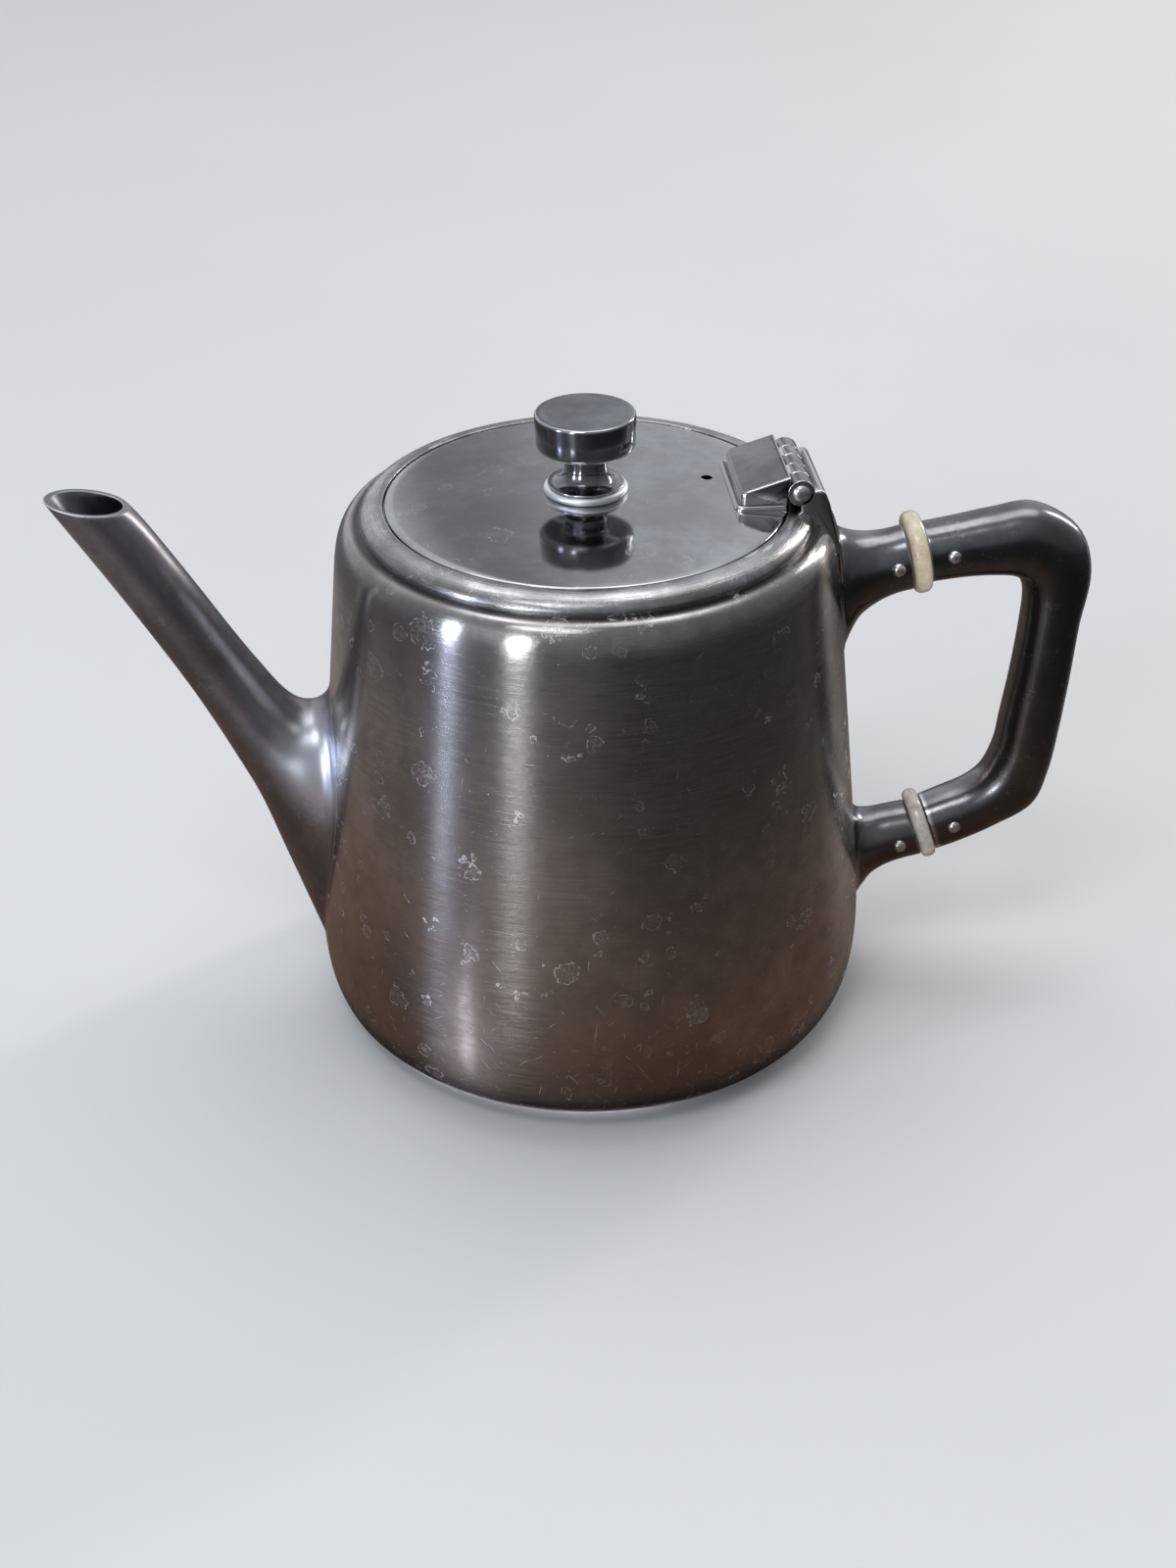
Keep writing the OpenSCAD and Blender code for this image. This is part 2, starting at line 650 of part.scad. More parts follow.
body_shell();
foot_ring();
mouth_ring();
spout();
upper_socket();
lower_socket();
upper_insulator();
lower_insulator();
handle_grip();
upper_socket_pin();
upper_grip_pin();
lower_socket_pin();
lower_grip_pin();
hinge_bracket();
hinge_pin();
hinge_block();
lid();
lid_bezel();
knob();
knob_washer();
knob_nut();
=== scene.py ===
"""Looks of a hinged-lid silver-plated teapot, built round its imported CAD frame.

All lengths below are in millimetres, in the frame's own axes: the body axis is Z, the foot stands
on z = 0, the spout points to -X and the handle to +X. The mesh helpers turn them into metres.
"""

import math

import bmesh
import bpy
from mathutils import Euler, Matrix, Vector


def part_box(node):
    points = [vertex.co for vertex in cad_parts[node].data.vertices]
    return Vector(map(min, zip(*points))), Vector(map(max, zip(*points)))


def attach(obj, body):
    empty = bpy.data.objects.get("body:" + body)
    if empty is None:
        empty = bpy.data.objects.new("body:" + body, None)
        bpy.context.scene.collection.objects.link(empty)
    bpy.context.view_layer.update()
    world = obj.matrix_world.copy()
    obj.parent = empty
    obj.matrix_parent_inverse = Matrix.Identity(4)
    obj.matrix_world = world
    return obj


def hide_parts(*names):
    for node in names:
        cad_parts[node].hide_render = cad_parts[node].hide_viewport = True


MM = 0.001
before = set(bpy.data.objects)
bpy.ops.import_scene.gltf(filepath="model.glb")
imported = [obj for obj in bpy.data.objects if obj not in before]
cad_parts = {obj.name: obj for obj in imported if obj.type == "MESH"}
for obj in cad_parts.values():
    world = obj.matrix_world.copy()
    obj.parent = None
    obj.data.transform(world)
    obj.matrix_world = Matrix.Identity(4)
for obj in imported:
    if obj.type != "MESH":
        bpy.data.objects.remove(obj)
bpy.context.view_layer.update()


def span(node):
    """Lowest and highest corner of a CAD node, in millimetres."""
    low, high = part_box(node)
    return low / MM, high / MM


def middle(node):
    low, high = span(node)
    return (low + high) / 2


# ---- Sizes: from the frame's boxes, and the CAD's own values where a box can't give them ----

FOOT_R = span("foot_ring")[1].x
FOOT_H = span("body_shell")[0].z
LAND_Z = span("body_shell")[1].z
RING_R = span("mouth_ring")[1].x
RING_TOP = span("mouth_ring")[1].z
LID_R = span("lid")[1].x
LID_SEAT = span("lid")[0].z
KNOB_R = span("knob")[1].x
KNOB_TOP = span("knob")[1].z
BEZEL_R = span("lid_bezel")[1].x
HINGE = middle("hinge_pin")
HINGE_W = span("hinge_bracket")[1].y - span("hinge_bracket")[0].y

# Body: the wall tapers from BODY_R at CURVE_Z, where the lower corner ends, up to the shoulder
BODY_R = 52.5
CURVE_Z = 34.3
WALL_TAPER = 0.1
SHOULDER_Z = 94.5
LAND_R = 41.9
SHEET = 1.2
BOTTOM_RISE = 2.4
LOWER_POWER = 2.8
SHOULDER_POWER = 2.77
FOOT_STEP = 1.0
OPENING_R = 38.4
# Each row of strainer holes: its height and how many holes it has
STRAINER_ROWS = [(61.5, 2), (57.2, 3), (52.9, 4), (48.6, 3), (44.3, 2)]
STRAINER_PITCH = 4.6
STRAINER_R = 1.3
# Mouth ring and lid
RING_STEP = 0.6
MOUTH_R = 34.6
LID_SHEET = 1.2
LID_CROWN = 1.35
LID_POWER = 2.8
LID_EDGE = LID_SEAT + LID_SHEET
BORE_R = LID_R + 0.35
VENT_AT = (LID_R * 0.62, LID_R * 0.11)
VENT_R = 1.05
# Knob
WAIST_R = 3.9
KNOB_FOOT_R = 7.65
KNOB_LIP_R = 7.0
DRUM_H = 6.85
STUD_R = 1.5
# Hinge: the places of the knuckles count from the side that looks to -Y
KNUCKLE_R = 2.5
KNUCKLE_W = HINGE_W / 5
PIN_R = 1.2
POT_PLACES = (0, 2, 4)
LID_PLACES = (1, 3)
STRAP_TOP = 98
STRAP_T = 0.7

SPOUT_WALL = 1.2

# Stations of each branch, from its free end to its root on the wall: reach of the upper line and
# its height, reach of the lower line and its height, half width, place of the widest point from
# 0 (top) to 1 (bottom), and sharpness of the tail. Reach is measured outwards from BODY_R.
SPOUT = [
    (29.3, 108.5, 44.3, 111.0, 5.9, 0.50, 1.0),
    (26.3, 104.3, 36.7, 98.3, 6.0, 0.50, 1.0),
    (20.0, 93.9, 30.5, 87.6, 6.2, 0.50, 1.0),
    (12.7, 81.4, 23.5, 74.9, 6.4, 0.50, 1.0),
    (8.6, 74.8, 19.0, 65.9, 6.9, 0.49, 1.0),
    (5.2, 69.6, 15.1, 57.3, 7.9, 0.46, 1.05),
    (2.3, 66.7, 11.1, 47.6, 9.4, 0.42, 1.15),
    (-0.6, 66.2, 7.1, 34.2, 10.9, 0.36, 1.25),
    (-3.0, 67.1, 0.9, 13.6, 12.0, 0.32, 1.35),
]
UPPER_SOCKET = [
    (6.67, 97.6, 8.97, 85.3, 5.85, 0.50, 1.0),
    (3.7, 96.9, 5.9, 84.6, 5.85, 0.50, 1.0),
    (0.7, 96.6, 2.5, 83.0, 6.0, 0.48, 1.0),
    (-2.1, 96.8, -0.8, 80.1, 6.5, 0.44, 1.1),
    (-4.0, 97.3, -2.6, 76.3, 7.1, 0.40, 1.2),
    (-5.4, 98.0, -3.0, 71.8, 7.9, 0.36, 1.35),
]
LOWER_SOCKET = [
    (10.99, 36.3, 14.61, 25.5, 5.85, 0.50, 1.0),
    (7.1, 35.7, 10.7, 24.6, 5.85, 0.50, 1.0),
    (4.3, 35.2, 7.2, 23.3, 6.0, 0.48, 1.0),
    (2.1, 35.2, 4.5, 21.2, 6.5, 0.44, 1.1),
    (0.8, 35.6, 2.8, 18.4, 7.1, 0.40, 1.2),
    (-0.2, 36.6, 1.0, 14.8, 7.9, 0.36, 1.35),
]
# Stations of the grip, from the upper ring to the lower one: reach of the outer line and its
# height, reach of the inner line and its height, and half width.
GRIP = [
    (10.13, 97.8, 12.19, 86.8, 5.5),
    (17.0, 98.95, 18.4, 87.45, 5.6),
    (23.7, 100.2, 24.3, 87.5, 5.8),
    (31.8, 101.0, 28.4, 86.9, 6.0),
    (40.1, 95.9, 30.1, 85.1, 6.1),
    (43.1, 87.6, 30.9, 81.8, 6.1),
    (42.0, 76.5, 30.8, 75.5, 6.1),
    (41.3, 65.0, 30.0, 65.5, 6.1),
    (40.3, 53.0, 28.8, 55.7, 6.1),
    (39.1, 43.8, 28.0, 49.3, 6.1),
    (36.5, 36.4, 26.0, 44.0, 6.1),
    (28.9, 31.6, 23.0, 41.1, 5.9),
    (22.7, 28.6, 18.2, 39.1, 5.7),
    (17.44, 26.6, 13.86, 37.3, 5.5),
]
GRIP_POWER = 2.3
RIM_POWER = 2.6
# Each insulating ring: its node, upward tilt of the arm through it, radius and thickness
UPPER_JOINT = ("upper_insulator", 10.6, 7.8, 3.4)
LOWER_JOINT = ("lower_insulator", 18.5, 7.1, 3.0)


# ---- Mesh helpers ----

def added(name, data):
    """A new object of this data in the scene."""
    made = bpy.data.objects.new(name, data)
    bpy.context.scene.collection.objects.link(made)
    return made


def solid(name, verts, faces, sharp=32):
    """A new object from points and faces in millimetres, shaded smooth up to the sharp angle."""
    mesh = bpy.data.meshes.new(name)
    mesh.from_pydata([Vector(v) * MM for v in verts], [], [tuple(f) for f in faces])
    tidy_mesh(mesh, sharp)
    return added(name, mesh)


def tidy_mesh(mesh, sharp=32):
    """Merges doubled points, turns every face outwards and sets the smooth shading."""
    work = bmesh.new()
    work.from_mesh(mesh)
    bmesh.ops.remove_doubles(work, verts=work.verts, dist=1e-7)
    bmesh.ops.recalc_face_normals(work, faces=work.faces)
    for face in work.faces:
        face.smooth = True
    work.to_mesh(mesh)
    work.free()
    mesh.set_sharp_from_angle(angle=math.radians(sharp))


def skin(name, rings, loop=False, sharp=32):
    """Mesh through a list of rings. loop joins the last ring to the first; if not, flat caps close it."""
    count = len(rings[0])
    total = len(rings)
    faces = []
    for i in range(total if loop else total - 1):
        for j in range(count):
            k = (j + 1) % count
            below, above = i * count, (i + 1) % total * count
            faces.append((below + j, below + k, above + k, above + j))
    if not loop:
        for start in (0, (total - 1) * count):
            if (Vector(rings[start // count][0]) - Vector(rings[start // count][1])).length > 1e-6:
                faces.append(range(start, start + count))
    return solid(name, [p for ring in rings for p in ring], faces, sharp)


def lathe(name, line, loop=False, around=192, sharp=32):
    """Surface of revolution of a line of (radius, height) points."""
    rings = [[(r * math.cos(a), r * math.sin(a), z) for a in full_turn(around)] for r, z in line]
    return skin(name, rings, loop, sharp)


def rounded(corners, steps=4):
    """A line through corners given as (r, z, radius), with each corner turned into a short curve."""
    line = []
    for i, (r, z, radius) in enumerate(corners):
        here = Vector((r, z))
        back = Vector(corners[i - 1][:2]) - here
        ahead = Vector(corners[(i + 1) % len(corners)][:2]) - here
        if not radius:
            line.append(here)
            continue
        cut = min(radius / math.tan(back.angle(ahead) / 2), 0.48 * back.length, 0.48 * ahead.length)
        start, end = here + back.normalized() * cut, here + ahead.normalized() * cut
        line += [bezier(start, here, end, k / steps) for k in range(steps + 1)]
    return line


def full_turn(count):
    """Even angles once round."""
    return [math.tau * j / count for j in range(count)]


def quarter(steps):
    """Angles from 0 to a right angle."""
    return [math.pi / 2 * k / steps for k in range(steps + 1)]


def signed_power(value, power):
    return math.copysign(abs(value) ** power, value)


def mirrored(line):
    """The mirror image of a line of (radius, height) points below height 0, in reverse order."""
    return [Vector((p.x, -p.y)) for p in line[::-1]]


def bezier(a, b, c, t):
    return a * (1 - t) ** 2 + b * (2 * t * (1 - t)) + c * t ** 2


def cubic(a, b, c, d, t):
    """Point on a uniform Catmull-Rom curve between b and c."""
    return (2 * b + (c - a) * t + (2 * a - 5 * b + 4 * c - d) * t * t
            + (3 * b - a - 3 * c + d) * t ** 3) * 0.5


def smooth(rings, steps):
    """The rings with extra ones between them, on smooth curves."""
    last = len(rings) - 1
    made = []
    for i in range(last):
        near = (rings[max(0, i - 1)], rings[i], rings[i + 1], rings[min(last, i + 2)])
        made += [[cubic(*points, k / steps) for points in zip(*near)] for k in range(steps)]
    return made + [rings[last]]


def moved(obj, matrix):
    """Moves the points of a mesh, in millimetres, and leaves its object at the origin."""
    matrix = matrix.copy()
    matrix.translation *= MM
    obj.data.transform(matrix)
    return obj


def joined(name, parts):
    """One object from several closed ones."""
    work = bmesh.new()
    for part in parts:
        work.from_mesh(part.data)
        discard(part)
    mesh = bpy.data.meshes.new(name)
    work.to_mesh(mesh)
    work.free()
    return added(name, mesh)


def discard(obj):
    mesh = obj.data
    bpy.data.objects.remove(obj)
    bpy.data.meshes.remove(mesh)


def carved(obj, cutters, sharp=32):
    """obj after an exact boolean with the cutters, which are used up."""
    cutter = joined("cutter", cutters)
    modifier = obj.modifiers.new("cut", "BOOLEAN")
    modifier.operation = "DIFFERENCE"
    modifier.solver = "EXACT"
    modifier.use_self = len(cutters) > 1
    modifier.object = cutter
    bpy.context.view_layer.update()
    result = bpy.data.meshes.new_from_object(obj.evaluated_get(bpy.context.evaluated_depsgraph_get()))
    obj.modifiers.clear()
    obj.data = result
    discard(cutter)
    tidy_mesh(result, sharp)
    return obj


def rod(length, radius, centre, direction, around=32):
    """Plain round bar for cutting holes."""
    bar = lathe("rod", [(0, -length / 2), (radius, -length / 2), (radius, length / 2), (0, length / 2)],
                around=around)
    turn = Vector((0, 0, 1)).rotation_difference(Vector(direction)).to_matrix().to_4x4()
    return moved(bar, Matrix.Translation(centre) @ turn)


def prism(name, outline, low_y, high_y, bevel, steps=3):
    """Solid across Y from an outline in X and Z, with every edge rounded."""
    count = len(outline)
    verts = [(x, y, z) for y in (low_y, high_y) for x, z in outline]
    faces = [(j, (j + 1) % count, count + (j + 1) % count, count + j) for j in range(count)]
    faces += [range(count), range(count, 2 * count)]
    made = solid(name, verts, faces)
    work = bmesh.new()
    work.from_mesh(made.data)
    bmesh.ops.bevel(work, geom=work.edges[:], offset=bevel * MM, segments=steps, profile=0.5,
                    affect="EDGES", clamp_overlap=True)
    work.to_mesh(made.data)
    work.free()
    tidy_mesh(made.data)
    return made


# ---- Curves of the body ----

def wall_r(z):
    return BODY_R - WALL_TAPER * (z - CURVE_Z)


def corner(t, power):
    """Share of a corner's inset that a superellipse has used up at t, from 0 to 1."""
    return 1 - (1 - min(1, max(0, t)) ** power) ** (1 / power)


def body_r(z):
    """Outer radius of the body at height z."""
    if z < CURVE_Z:
        inset = wall_r(FOOT_H) - FOOT_R + FOOT_STEP
        return wall_r(z) - inset * corner((CURVE_Z - z) / (CURVE_Z - FOOT_H), LOWER_POWER)
    if z > SHOULDER_Z:
        inset = wall_r(LAND_Z) - LAND_R
        return wall_r(z) - inset * corner((z - SHOULDER_Z) / (LAND_Z - SHOULDER_Z), SHOULDER_POWER)
    return wall_r(z)


def lower_heights(steps):
    return [CURVE_Z - (CURVE_Z - FOOT_H) * math.cos(a) ** (2 / LOWER_POWER) for a in quarter(steps)]


def shoulder_heights(steps):
    return [SHOULDER_Z + (LAND_Z - SHOULDER_Z) * math.sin(a) ** (2 / SHOULDER_POWER)
            for a in quarter(steps)]


def outer_line():
    """The body's outside from the foot to the land, close enough together to look smooth."""
    wall_steps = 24
    wall = [CURVE_Z + (SHOULDER_Z - CURVE_Z) * i / wall_steps for i in range(1, wall_steps)]
    heights = lower_heights(36) + wall + shoulder_heights(28)
    return [Vector((body_r(z), z)) for z in heights]


def arc(r, z, radius, start, end, steps):
    """Points on a circular arc about (r, z), between two angles in degrees."""
    angles = [math.radians(start + (end - start) * i / steps) for i in range(steps + 1)]
    return [Vector((r + radius * math.cos(a), z + radius * math.sin(a))) for a in angles]


def left_of(line, distance):
    """A line moved to its left by a distance."""
    made = []
    for i, point in enumerate(line):
        d = (line[min(len(line) - 1, i + 1)] - line[max(0, i - 1)]).normalized()
        made.append(point + distance * Vector((-d.y, d.x)))
    return made


def lid_z(r):
    return LID_EDGE + LID_CROWN * (1 - (r / LID_R) ** LID_POWER)


def ring_line():
    """The mouth ring's outside, from its foot on the land to the edge of the bore."""
    crown_r = BORE_R + 0.6
    crown = [Vector((crown_r + (RING_R - crown_r) * math.cos(a),
                     LAND_Z + RING_STEP + (RING_TOP - LAND_Z - RING_STEP) * math.sin(a)))
             for a in quarter(28)]
    return [Vector((RING_R, LAND_Z + 0.02))] + crown


# ---- Body ----

def make_body():
    line = outer_line()
    bottom = [Vector((FOOT_R * out, FOOT_H + BOTTOM_RISE * up))
              for out, up in ((0, 1), (0.4, 1), (0.62, 0.93), (0.8, 0.7), (0.87, 0.25))]
    outside = bottom + [Vector((FOOT_R - 4.7, FOOT_H))] + line + [Vector((OPENING_R, LAND_Z))]
    inside = left_of(outside, SHEET)
    inside[0].x = 0
    made = lathe("body_shell_skin", outside + inside[::-1])
    holes = []
    for height, count in STRAINER_ROWS:
        for i in range(count):
            y = (i - (count - 1) / 2) * STRAINER_PITCH
            holes.append(rod(10, STRAINER_R, (-wall_r(height), y, height), (1, 0, 0), 24))
    return carved(made, holes)


def make_foot():
    """Ring with a half-round rim that stands a little proud of the body."""
    inner = FOOT_R - 3.2
    top = FOOT_H - 0.02
    line = rounded([(inner, top, 0), (inner, 0.3, 0.4), (inner + 0.6, 0, 0.4), (FOOT_R - 0.7, 0, 0.4)])
    line += arc(FOOT_R - FOOT_STEP, top - FOOT_STEP, FOOT_STEP, -38, 90, 14)
    return lathe("foot_ring_skin", line, loop=True)


def make_mouth_ring():
    edge = rounded([(BORE_R + 0.6, RING_TOP, 0), (BORE_R, RING_TOP, 0.3), (BORE_R, LID_SEAT - 0.02, 0.15),
                    (MOUTH_R, LID_SEAT - 0.02, 0.25), (MOUTH_R, LAND_Z - SHEET, 0.2),
                    (OPENING_R - 0.02, LAND_Z - SHEET, 0), (OPENING_R - 0.02, LAND_Z + 0.02, 0)])
    return lathe("mouth_ring_skin", ring_line() + edge[1:], loop=True)


# ---- Spout and sockets ----

SIDES = 64


def branch_ring(station, side, inset=0.0, root=False):
    """One closed section of a tapering branch. side is 1 for the handle's side, -1 for the spout's.

    inset draws it inwards for the bore, and root lays it on the pot's wall.
    """
    top, low = Vector(station[0:2]), Vector(station[2:4])
    across = (top - low).normalized()
    top, low = top - across * inset, low + across * inset
    half_w, place, tail = station[4] - inset, station[5], station[6]
    centre = top + (low - top) * place
    ring = []
    for angle in full_turn(SIDES):
        up, out = math.sin(angle), math.cos(angle)
        p = centre + (top - centre) * up if up >= 0 else centre + (centre - low) * up
        y = half_w * (out if up >= 0 else signed_power(out, tail))
        x = wall_x(y, p.y) if root else BODY_R + p.x
        ring.append(Vector((side * x, y, p.y)))
    return ring


def wall_x(y, z, off=0.0):
    """How far the wall stands from the middle plane at a place on it."""
    return math.sqrt(max(0, (body_r(z) + off) ** 2 - y * y))


def fillet_reach(point, centre, most, least):
    """The solder's reach: widest above the root, narrowest at the tail."""
    up = (point - centre).normalized().z
    return least + (most - least) * (0.5 + 0.5 * up) ** 1.5


def with_fillet(rings, side, most, least):
    """The rings with their last stretch bent smoothly into the pot's wall, as a fillet of solder."""
    root = rings[-1]
    centre = sum(root, Vector()) / len(root)
    steps = 8
    kept = max(1, len(rings) - 1 - steps)
    bent = []
    for path in zip(*rings):
        end = path[-1]
        reach = fillet_reach(end, centre, most, least)
        start = end
        for k in range(len(path) - 1, 0, -1):
            if (path[k - 1] - end).length > reach:
                near, far = path[k], path[k - 1]
                share = (reach - (near - end).length) / max(1e-6, (far - end).length - (near - end).length)
                start = near.lerp(far, min(1, max(0, share)))
                break
        out = Vector((0, end.y - centre.y, end.z - centre.z)).normalized()
        foot = end + out * reach
        foot.x = side * wall_x(foot.y, foot.z, 0.02)
        tail = end + out * (reach + 0.3)
        tail.x = side * wall_x(tail.y, tail.z, -0.25)
        curve = [bezier(start, end, foot, k / steps) for k in range(1, steps + 1)]
        bent.append(resampled(path, start, kept) + curve + [tail])
    return [list(ring) for ring in zip(*bent)]


def resampled(path, stop, count):
    """count + 1 points along a path, evenly placed from its first point to stop."""
    points = [path[0]]
    for point in path[1:]:
        if (point - path[-1]).length <= (stop - path[-1]).length:
            break
        points.append(point)
    points.append(stop)
    lengths = [0.0]
    for a, b in zip(points, points[1:]):
        lengths.append(lengths[-1] + (b - a).length)
    made = []
    for i in range(count + 1):
        want = lengths[-1] * i / count
        k = max(j for j in range(len(points) - 1) if lengths[j] <= want + 1e-9)
        share = (want - lengths[k]) / max(1e-9, lengths[k + 1] - lengths[k])
        made.append(points[k].lerp(points[k + 1], min(1, share)))
    return made


def branch(stations, side, inset, steps):
    """The smooth rings of a branch, from its free end to its root on the wall."""
    last = len(stations) - 1
    rings = [branch_ring(s, side, inset, i == last) for i, s in enumerate(stations)]
    return smooth(rings, steps)


def make_spout():
    outer = with_fillet(branch(SPOUT, -1, 0, 10), -1, 3.4, 1.2)
    inner = branch(SPOUT, -1, SPOUT_WALL, 6)
    out = (outer[0][0] - outer[4][0]).normalized()
    lip = []
    steps = 6
    for k in range(1, steps):
        a = math.pi * k / steps
        share = (1 - math.cos(a)) / 2
        rise = math.sin(a) * 0.35
        lip.append([p.lerp(q, share) + out * rise for p, q in zip(outer[0], inner[0])])
    outer[0] = [p - out * 0.3 for p in outer[0]]
    hidden = [Vector((-wall_x(p.y, p.z, -0.2), p.y, p.z)) for p in inner[-1]]
    rings = outer[::-1] + lip + inner[:-1] + [hidden]
    return skin("spout_skin", rings, loop=True, sharp=50)


def end_caps(rings, round_by):
    """Rings that round off the flat end in front of the first ring."""
    first, second = rings[0], rings[1]
    centre = sum(first, Vector()) / len(first)
    ahead = (centre - sum(second, Vector()) / len(second)).normalized()
    made = []
    for a in quarter(4):
        inwards, onwards = round_by * (1 - math.sin(a)), round_by * (1 - math.cos(a))
        made.append([p + (centre - p).normalized() * inwards - ahead * onwards for p in first])
    return made


def make_socket(name, stations):
    plain = branch(stations, 1, 0, 8)
    caps = end_caps(plain, 0.35)
    body = with_fillet(plain, 1, 2.6, 1.6)
    body = [ring for ring in body if (ring[0] - caps[-1][0]).length > 0.2]
    return skin(name, caps + body[1:], sharp=50)


# ---- Handle ----

def grip_ring(station):
    outer, inner, half_w = Vector(station[0:2]), Vector(station[2:4]), station[4]
    centre, half = (outer + inner) / 2, (outer - inner) / 2
    ring = []
    for angle in full_turn(SIDES):
        c, s = math.cos(angle), math.sin(angle)
        u, v = signed_power(s, 2 / GRIP_POWER), signed_power(c, 2 / GRIP_POWER)
        ring.append(Vector((BODY_R + centre.x + half.x * u, half_w * v, centre.y + half.y * u)))
    return ring


def make_grip():
    rings = smooth([grip_ring(s) for s in GRIP], 8)
    start = end_caps(rings, 0.4)
    finish = end_caps(rings[::-1], 0.4)[::-1]
    return skin("handle_grip_skin", start + rings[1:-1] + finish, sharp=50)


def make_insulator(joint):
    """Ring with a softly crowned rim and rounded edges, and the tenons that hold it."""
    node, tilt, radius, thick = joint
    half = thick / 2 - 0.02
    tenon_r = 3.9
    tenon_l = 9.2
    rim = []
    steps = 20
    for i in range(steps + 1):
        a = -math.pi / 2 + math.pi * i / steps
        crown = abs(math.cos(a)) ** (2 / RIM_POWER)
        height = half * signed_power(math.sin(a), 2 / RIM_POWER)
        rim.append(Vector((radius - half * 1.05 * (1 - crown), height)))
    side = [Vector((radius - half * 1.6, half)), Vector((tenon_r, half)),
            Vector((tenon_r, half + tenon_l)), Vector((0, half + tenon_l))]
    made = lathe(node + "_skin", mirrored(side) + rim + side, around=96)
    turn = Matrix.Rotation(math.radians(90 - tilt), 4, "Y")
    return moved(made, Matrix.Translation(middle(node)) @ turn)


def make_pin(node, radius, head_r, dome):
    """Rod across the handle or the hinge, with a domed and slightly undercut head at each end."""
    low, high = span(node)
    half = (high.y - low.y) / 2 - dome
    head = [Vector((head_r * math.cos(a) ** 0.8, half + dome * math.sin(a))) for a in quarter(8)]
    side = [Vector((radius - 0.04, half - 0.5)), Vector((head_r, half - 0.12))] + head
    made = lathe(node + "_skin", mirrored(side) + side, around=48)
    return moved(made, Matrix.Translation(middle(node)) @ Matrix.Rotation(math.radians(90), 4, "X"))


# ---- Hinge ----

def knuckle_y(place):
    return -HINGE_W / 2 + (place + 0.5) * KNUCKLE_W


def knuckle(place, radius, gap, bevel):
    """One bored knuckle of the hinge, with rounded edges."""
    half = KNUCKLE_W / 2 - gap
    bore = PIN_R + 0.04
    line = rounded([(bore, -half, 0), (radius, -half, bevel), (radius, half, bevel), (bore, half, 0)])
    made = lathe("knuckle", line, loop=True, around=64)
    centre = Matrix.Translation((HINGE.x, knuckle_y(place), HINGE.z))
    return moved(made, centre @ Matrix.Rotation(math.radians(90), 4, "X"))


def pot_filler(grow):
    """Solid that fills the pot up to its outside, for fitting other pieces to it."""
    line = left_of(outer_line(), -grow) + left_of(ring_line(), -grow)
    return lathe("pot_filler", [Vector((0, FOOT_H))] + line + [Vector((0, RING_TOP + grow))])


def strap_half_w(z):
    """Half width of the bracket's strap on the wall: square above, then down to a pointed tail."""
    full = HINGE_W / 2
    places = [(STRAP_TOP - 27.5, 0.0), (STRAP_TOP - 16, full - 3.6), (STRAP_TOP - 6, full - 1.4),
              (STRAP_TOP + 1, full)]
    for (z0, w0), (z1, w1) in zip(places, places[1:]):
        if z <= z1:
            return w0 + (w1 - w0) * max(0, z - z0) / (z1 - z0)
    return full


def make_strap():
    """Thin curved plate that follows the wall below the hinge, with rounded edges."""
    low, high = STRAP_TOP - 27.4, LAND_Z - 0.4
    rows = 40
    rings = []
    for i in range(rows + 1):
        z = low + (high - low) * (i / rows) ** 0.8
        half = max(0.05, strap_half_w(z))
        ring = []
        for a in full_turn(32):
            c, s = math.cos(a), math.sin(a)
            y = half * signed_power(c, 0.45)
            off = STRAP_T * (0.5 + 0.5 * signed_power(s, 0.45)) * min(1, half / 1.5)
            ring.append((wall_x(y, z, off - 0.04), y, z))
        rings.append(ring)
    return skin("strap", rings, sharp=40)


def make_bracket():
    wall = wall_r(STRAP_TOP)
    web = [(HINGE.x, HINGE.z - KNUCKLE_R), (HINGE.x + 1, LAND_Z - 3), (wall - 3, STRAP_TOP - 2),
           (wall - 0.6, STRAP_TOP), (wall - 0.8, STRAP_TOP + 1.5),
           (HINGE.x + 6.1, HINGE.z - 5.2), (HINGE.x + 5.3, HINGE.z - 2.2),
           (HINGE.x + 4.5, HINGE.z - 0.3), (HINGE.x + 3.9, HINGE.z + 0.4), (HINGE.x, HINGE.z + 0.1)]
    half = HINGE_W / 2
    room = [knuckle(p, KNUCKLE_R + 0.25, -0.05, 0) for p in LID_PLACES]
    room.append(rod(HINGE_W + 4, PIN_R + 0.6, HINGE, (0, 1, 0), 48))
    made = carved(prism("hinge_bracket_skin", web, -half, half, 0.35), room, sharp=30)
    made = carved(made, [pot_filler(0.02)], sharp=30)
    knuckles = [knuckle(p, KNUCKLE_R, 0, 0.3) for p in POT_PLACES]
    return joined("hinge_bracket_skin", [made, make_strap()] + knuckles)


def make_slab(name, span_x, half_y, low_z, top_at, corner_r, round_by, lean=0.0):
    """Block with rounded corners on its lid side and a rounded upper edge, under a plane top_at(x).

    lean moves the upper edge of the hinge side outwards.
    """
    low_x, high_x = span_x

    def outline(inset):
        near, far, side = low_x + inset, high_x - inset, half_y - inset
        tight, wide = max(0.05, 0.3 - inset), max(0.1, corner_r - inset)
        return rounded([(far, -side, tight), (far, side, tight),
                        (near, side, wide), (near, -side, wide)], 8)

    def ring(inset, drop):
        leant = [Vector((p.x + lean * (p.x - low_x) / (high_x - low_x), p.y)) for p in outline(inset)]
        return [(p.x, p.y, top_at(p.x) - drop) for p in leant]

    rings = [[(p.x, p.y, low_z) for p in outline(0)]]
    rings += [ring(round_by * (1 - math.cos(a)), round_by * (1 - math.sin(a))) for a in quarter(5)]
    rings += [ring(round_by + 0.25, 0), ring(round_by + 0.7, 0)]
    return skin(name, rings, sharp=50)


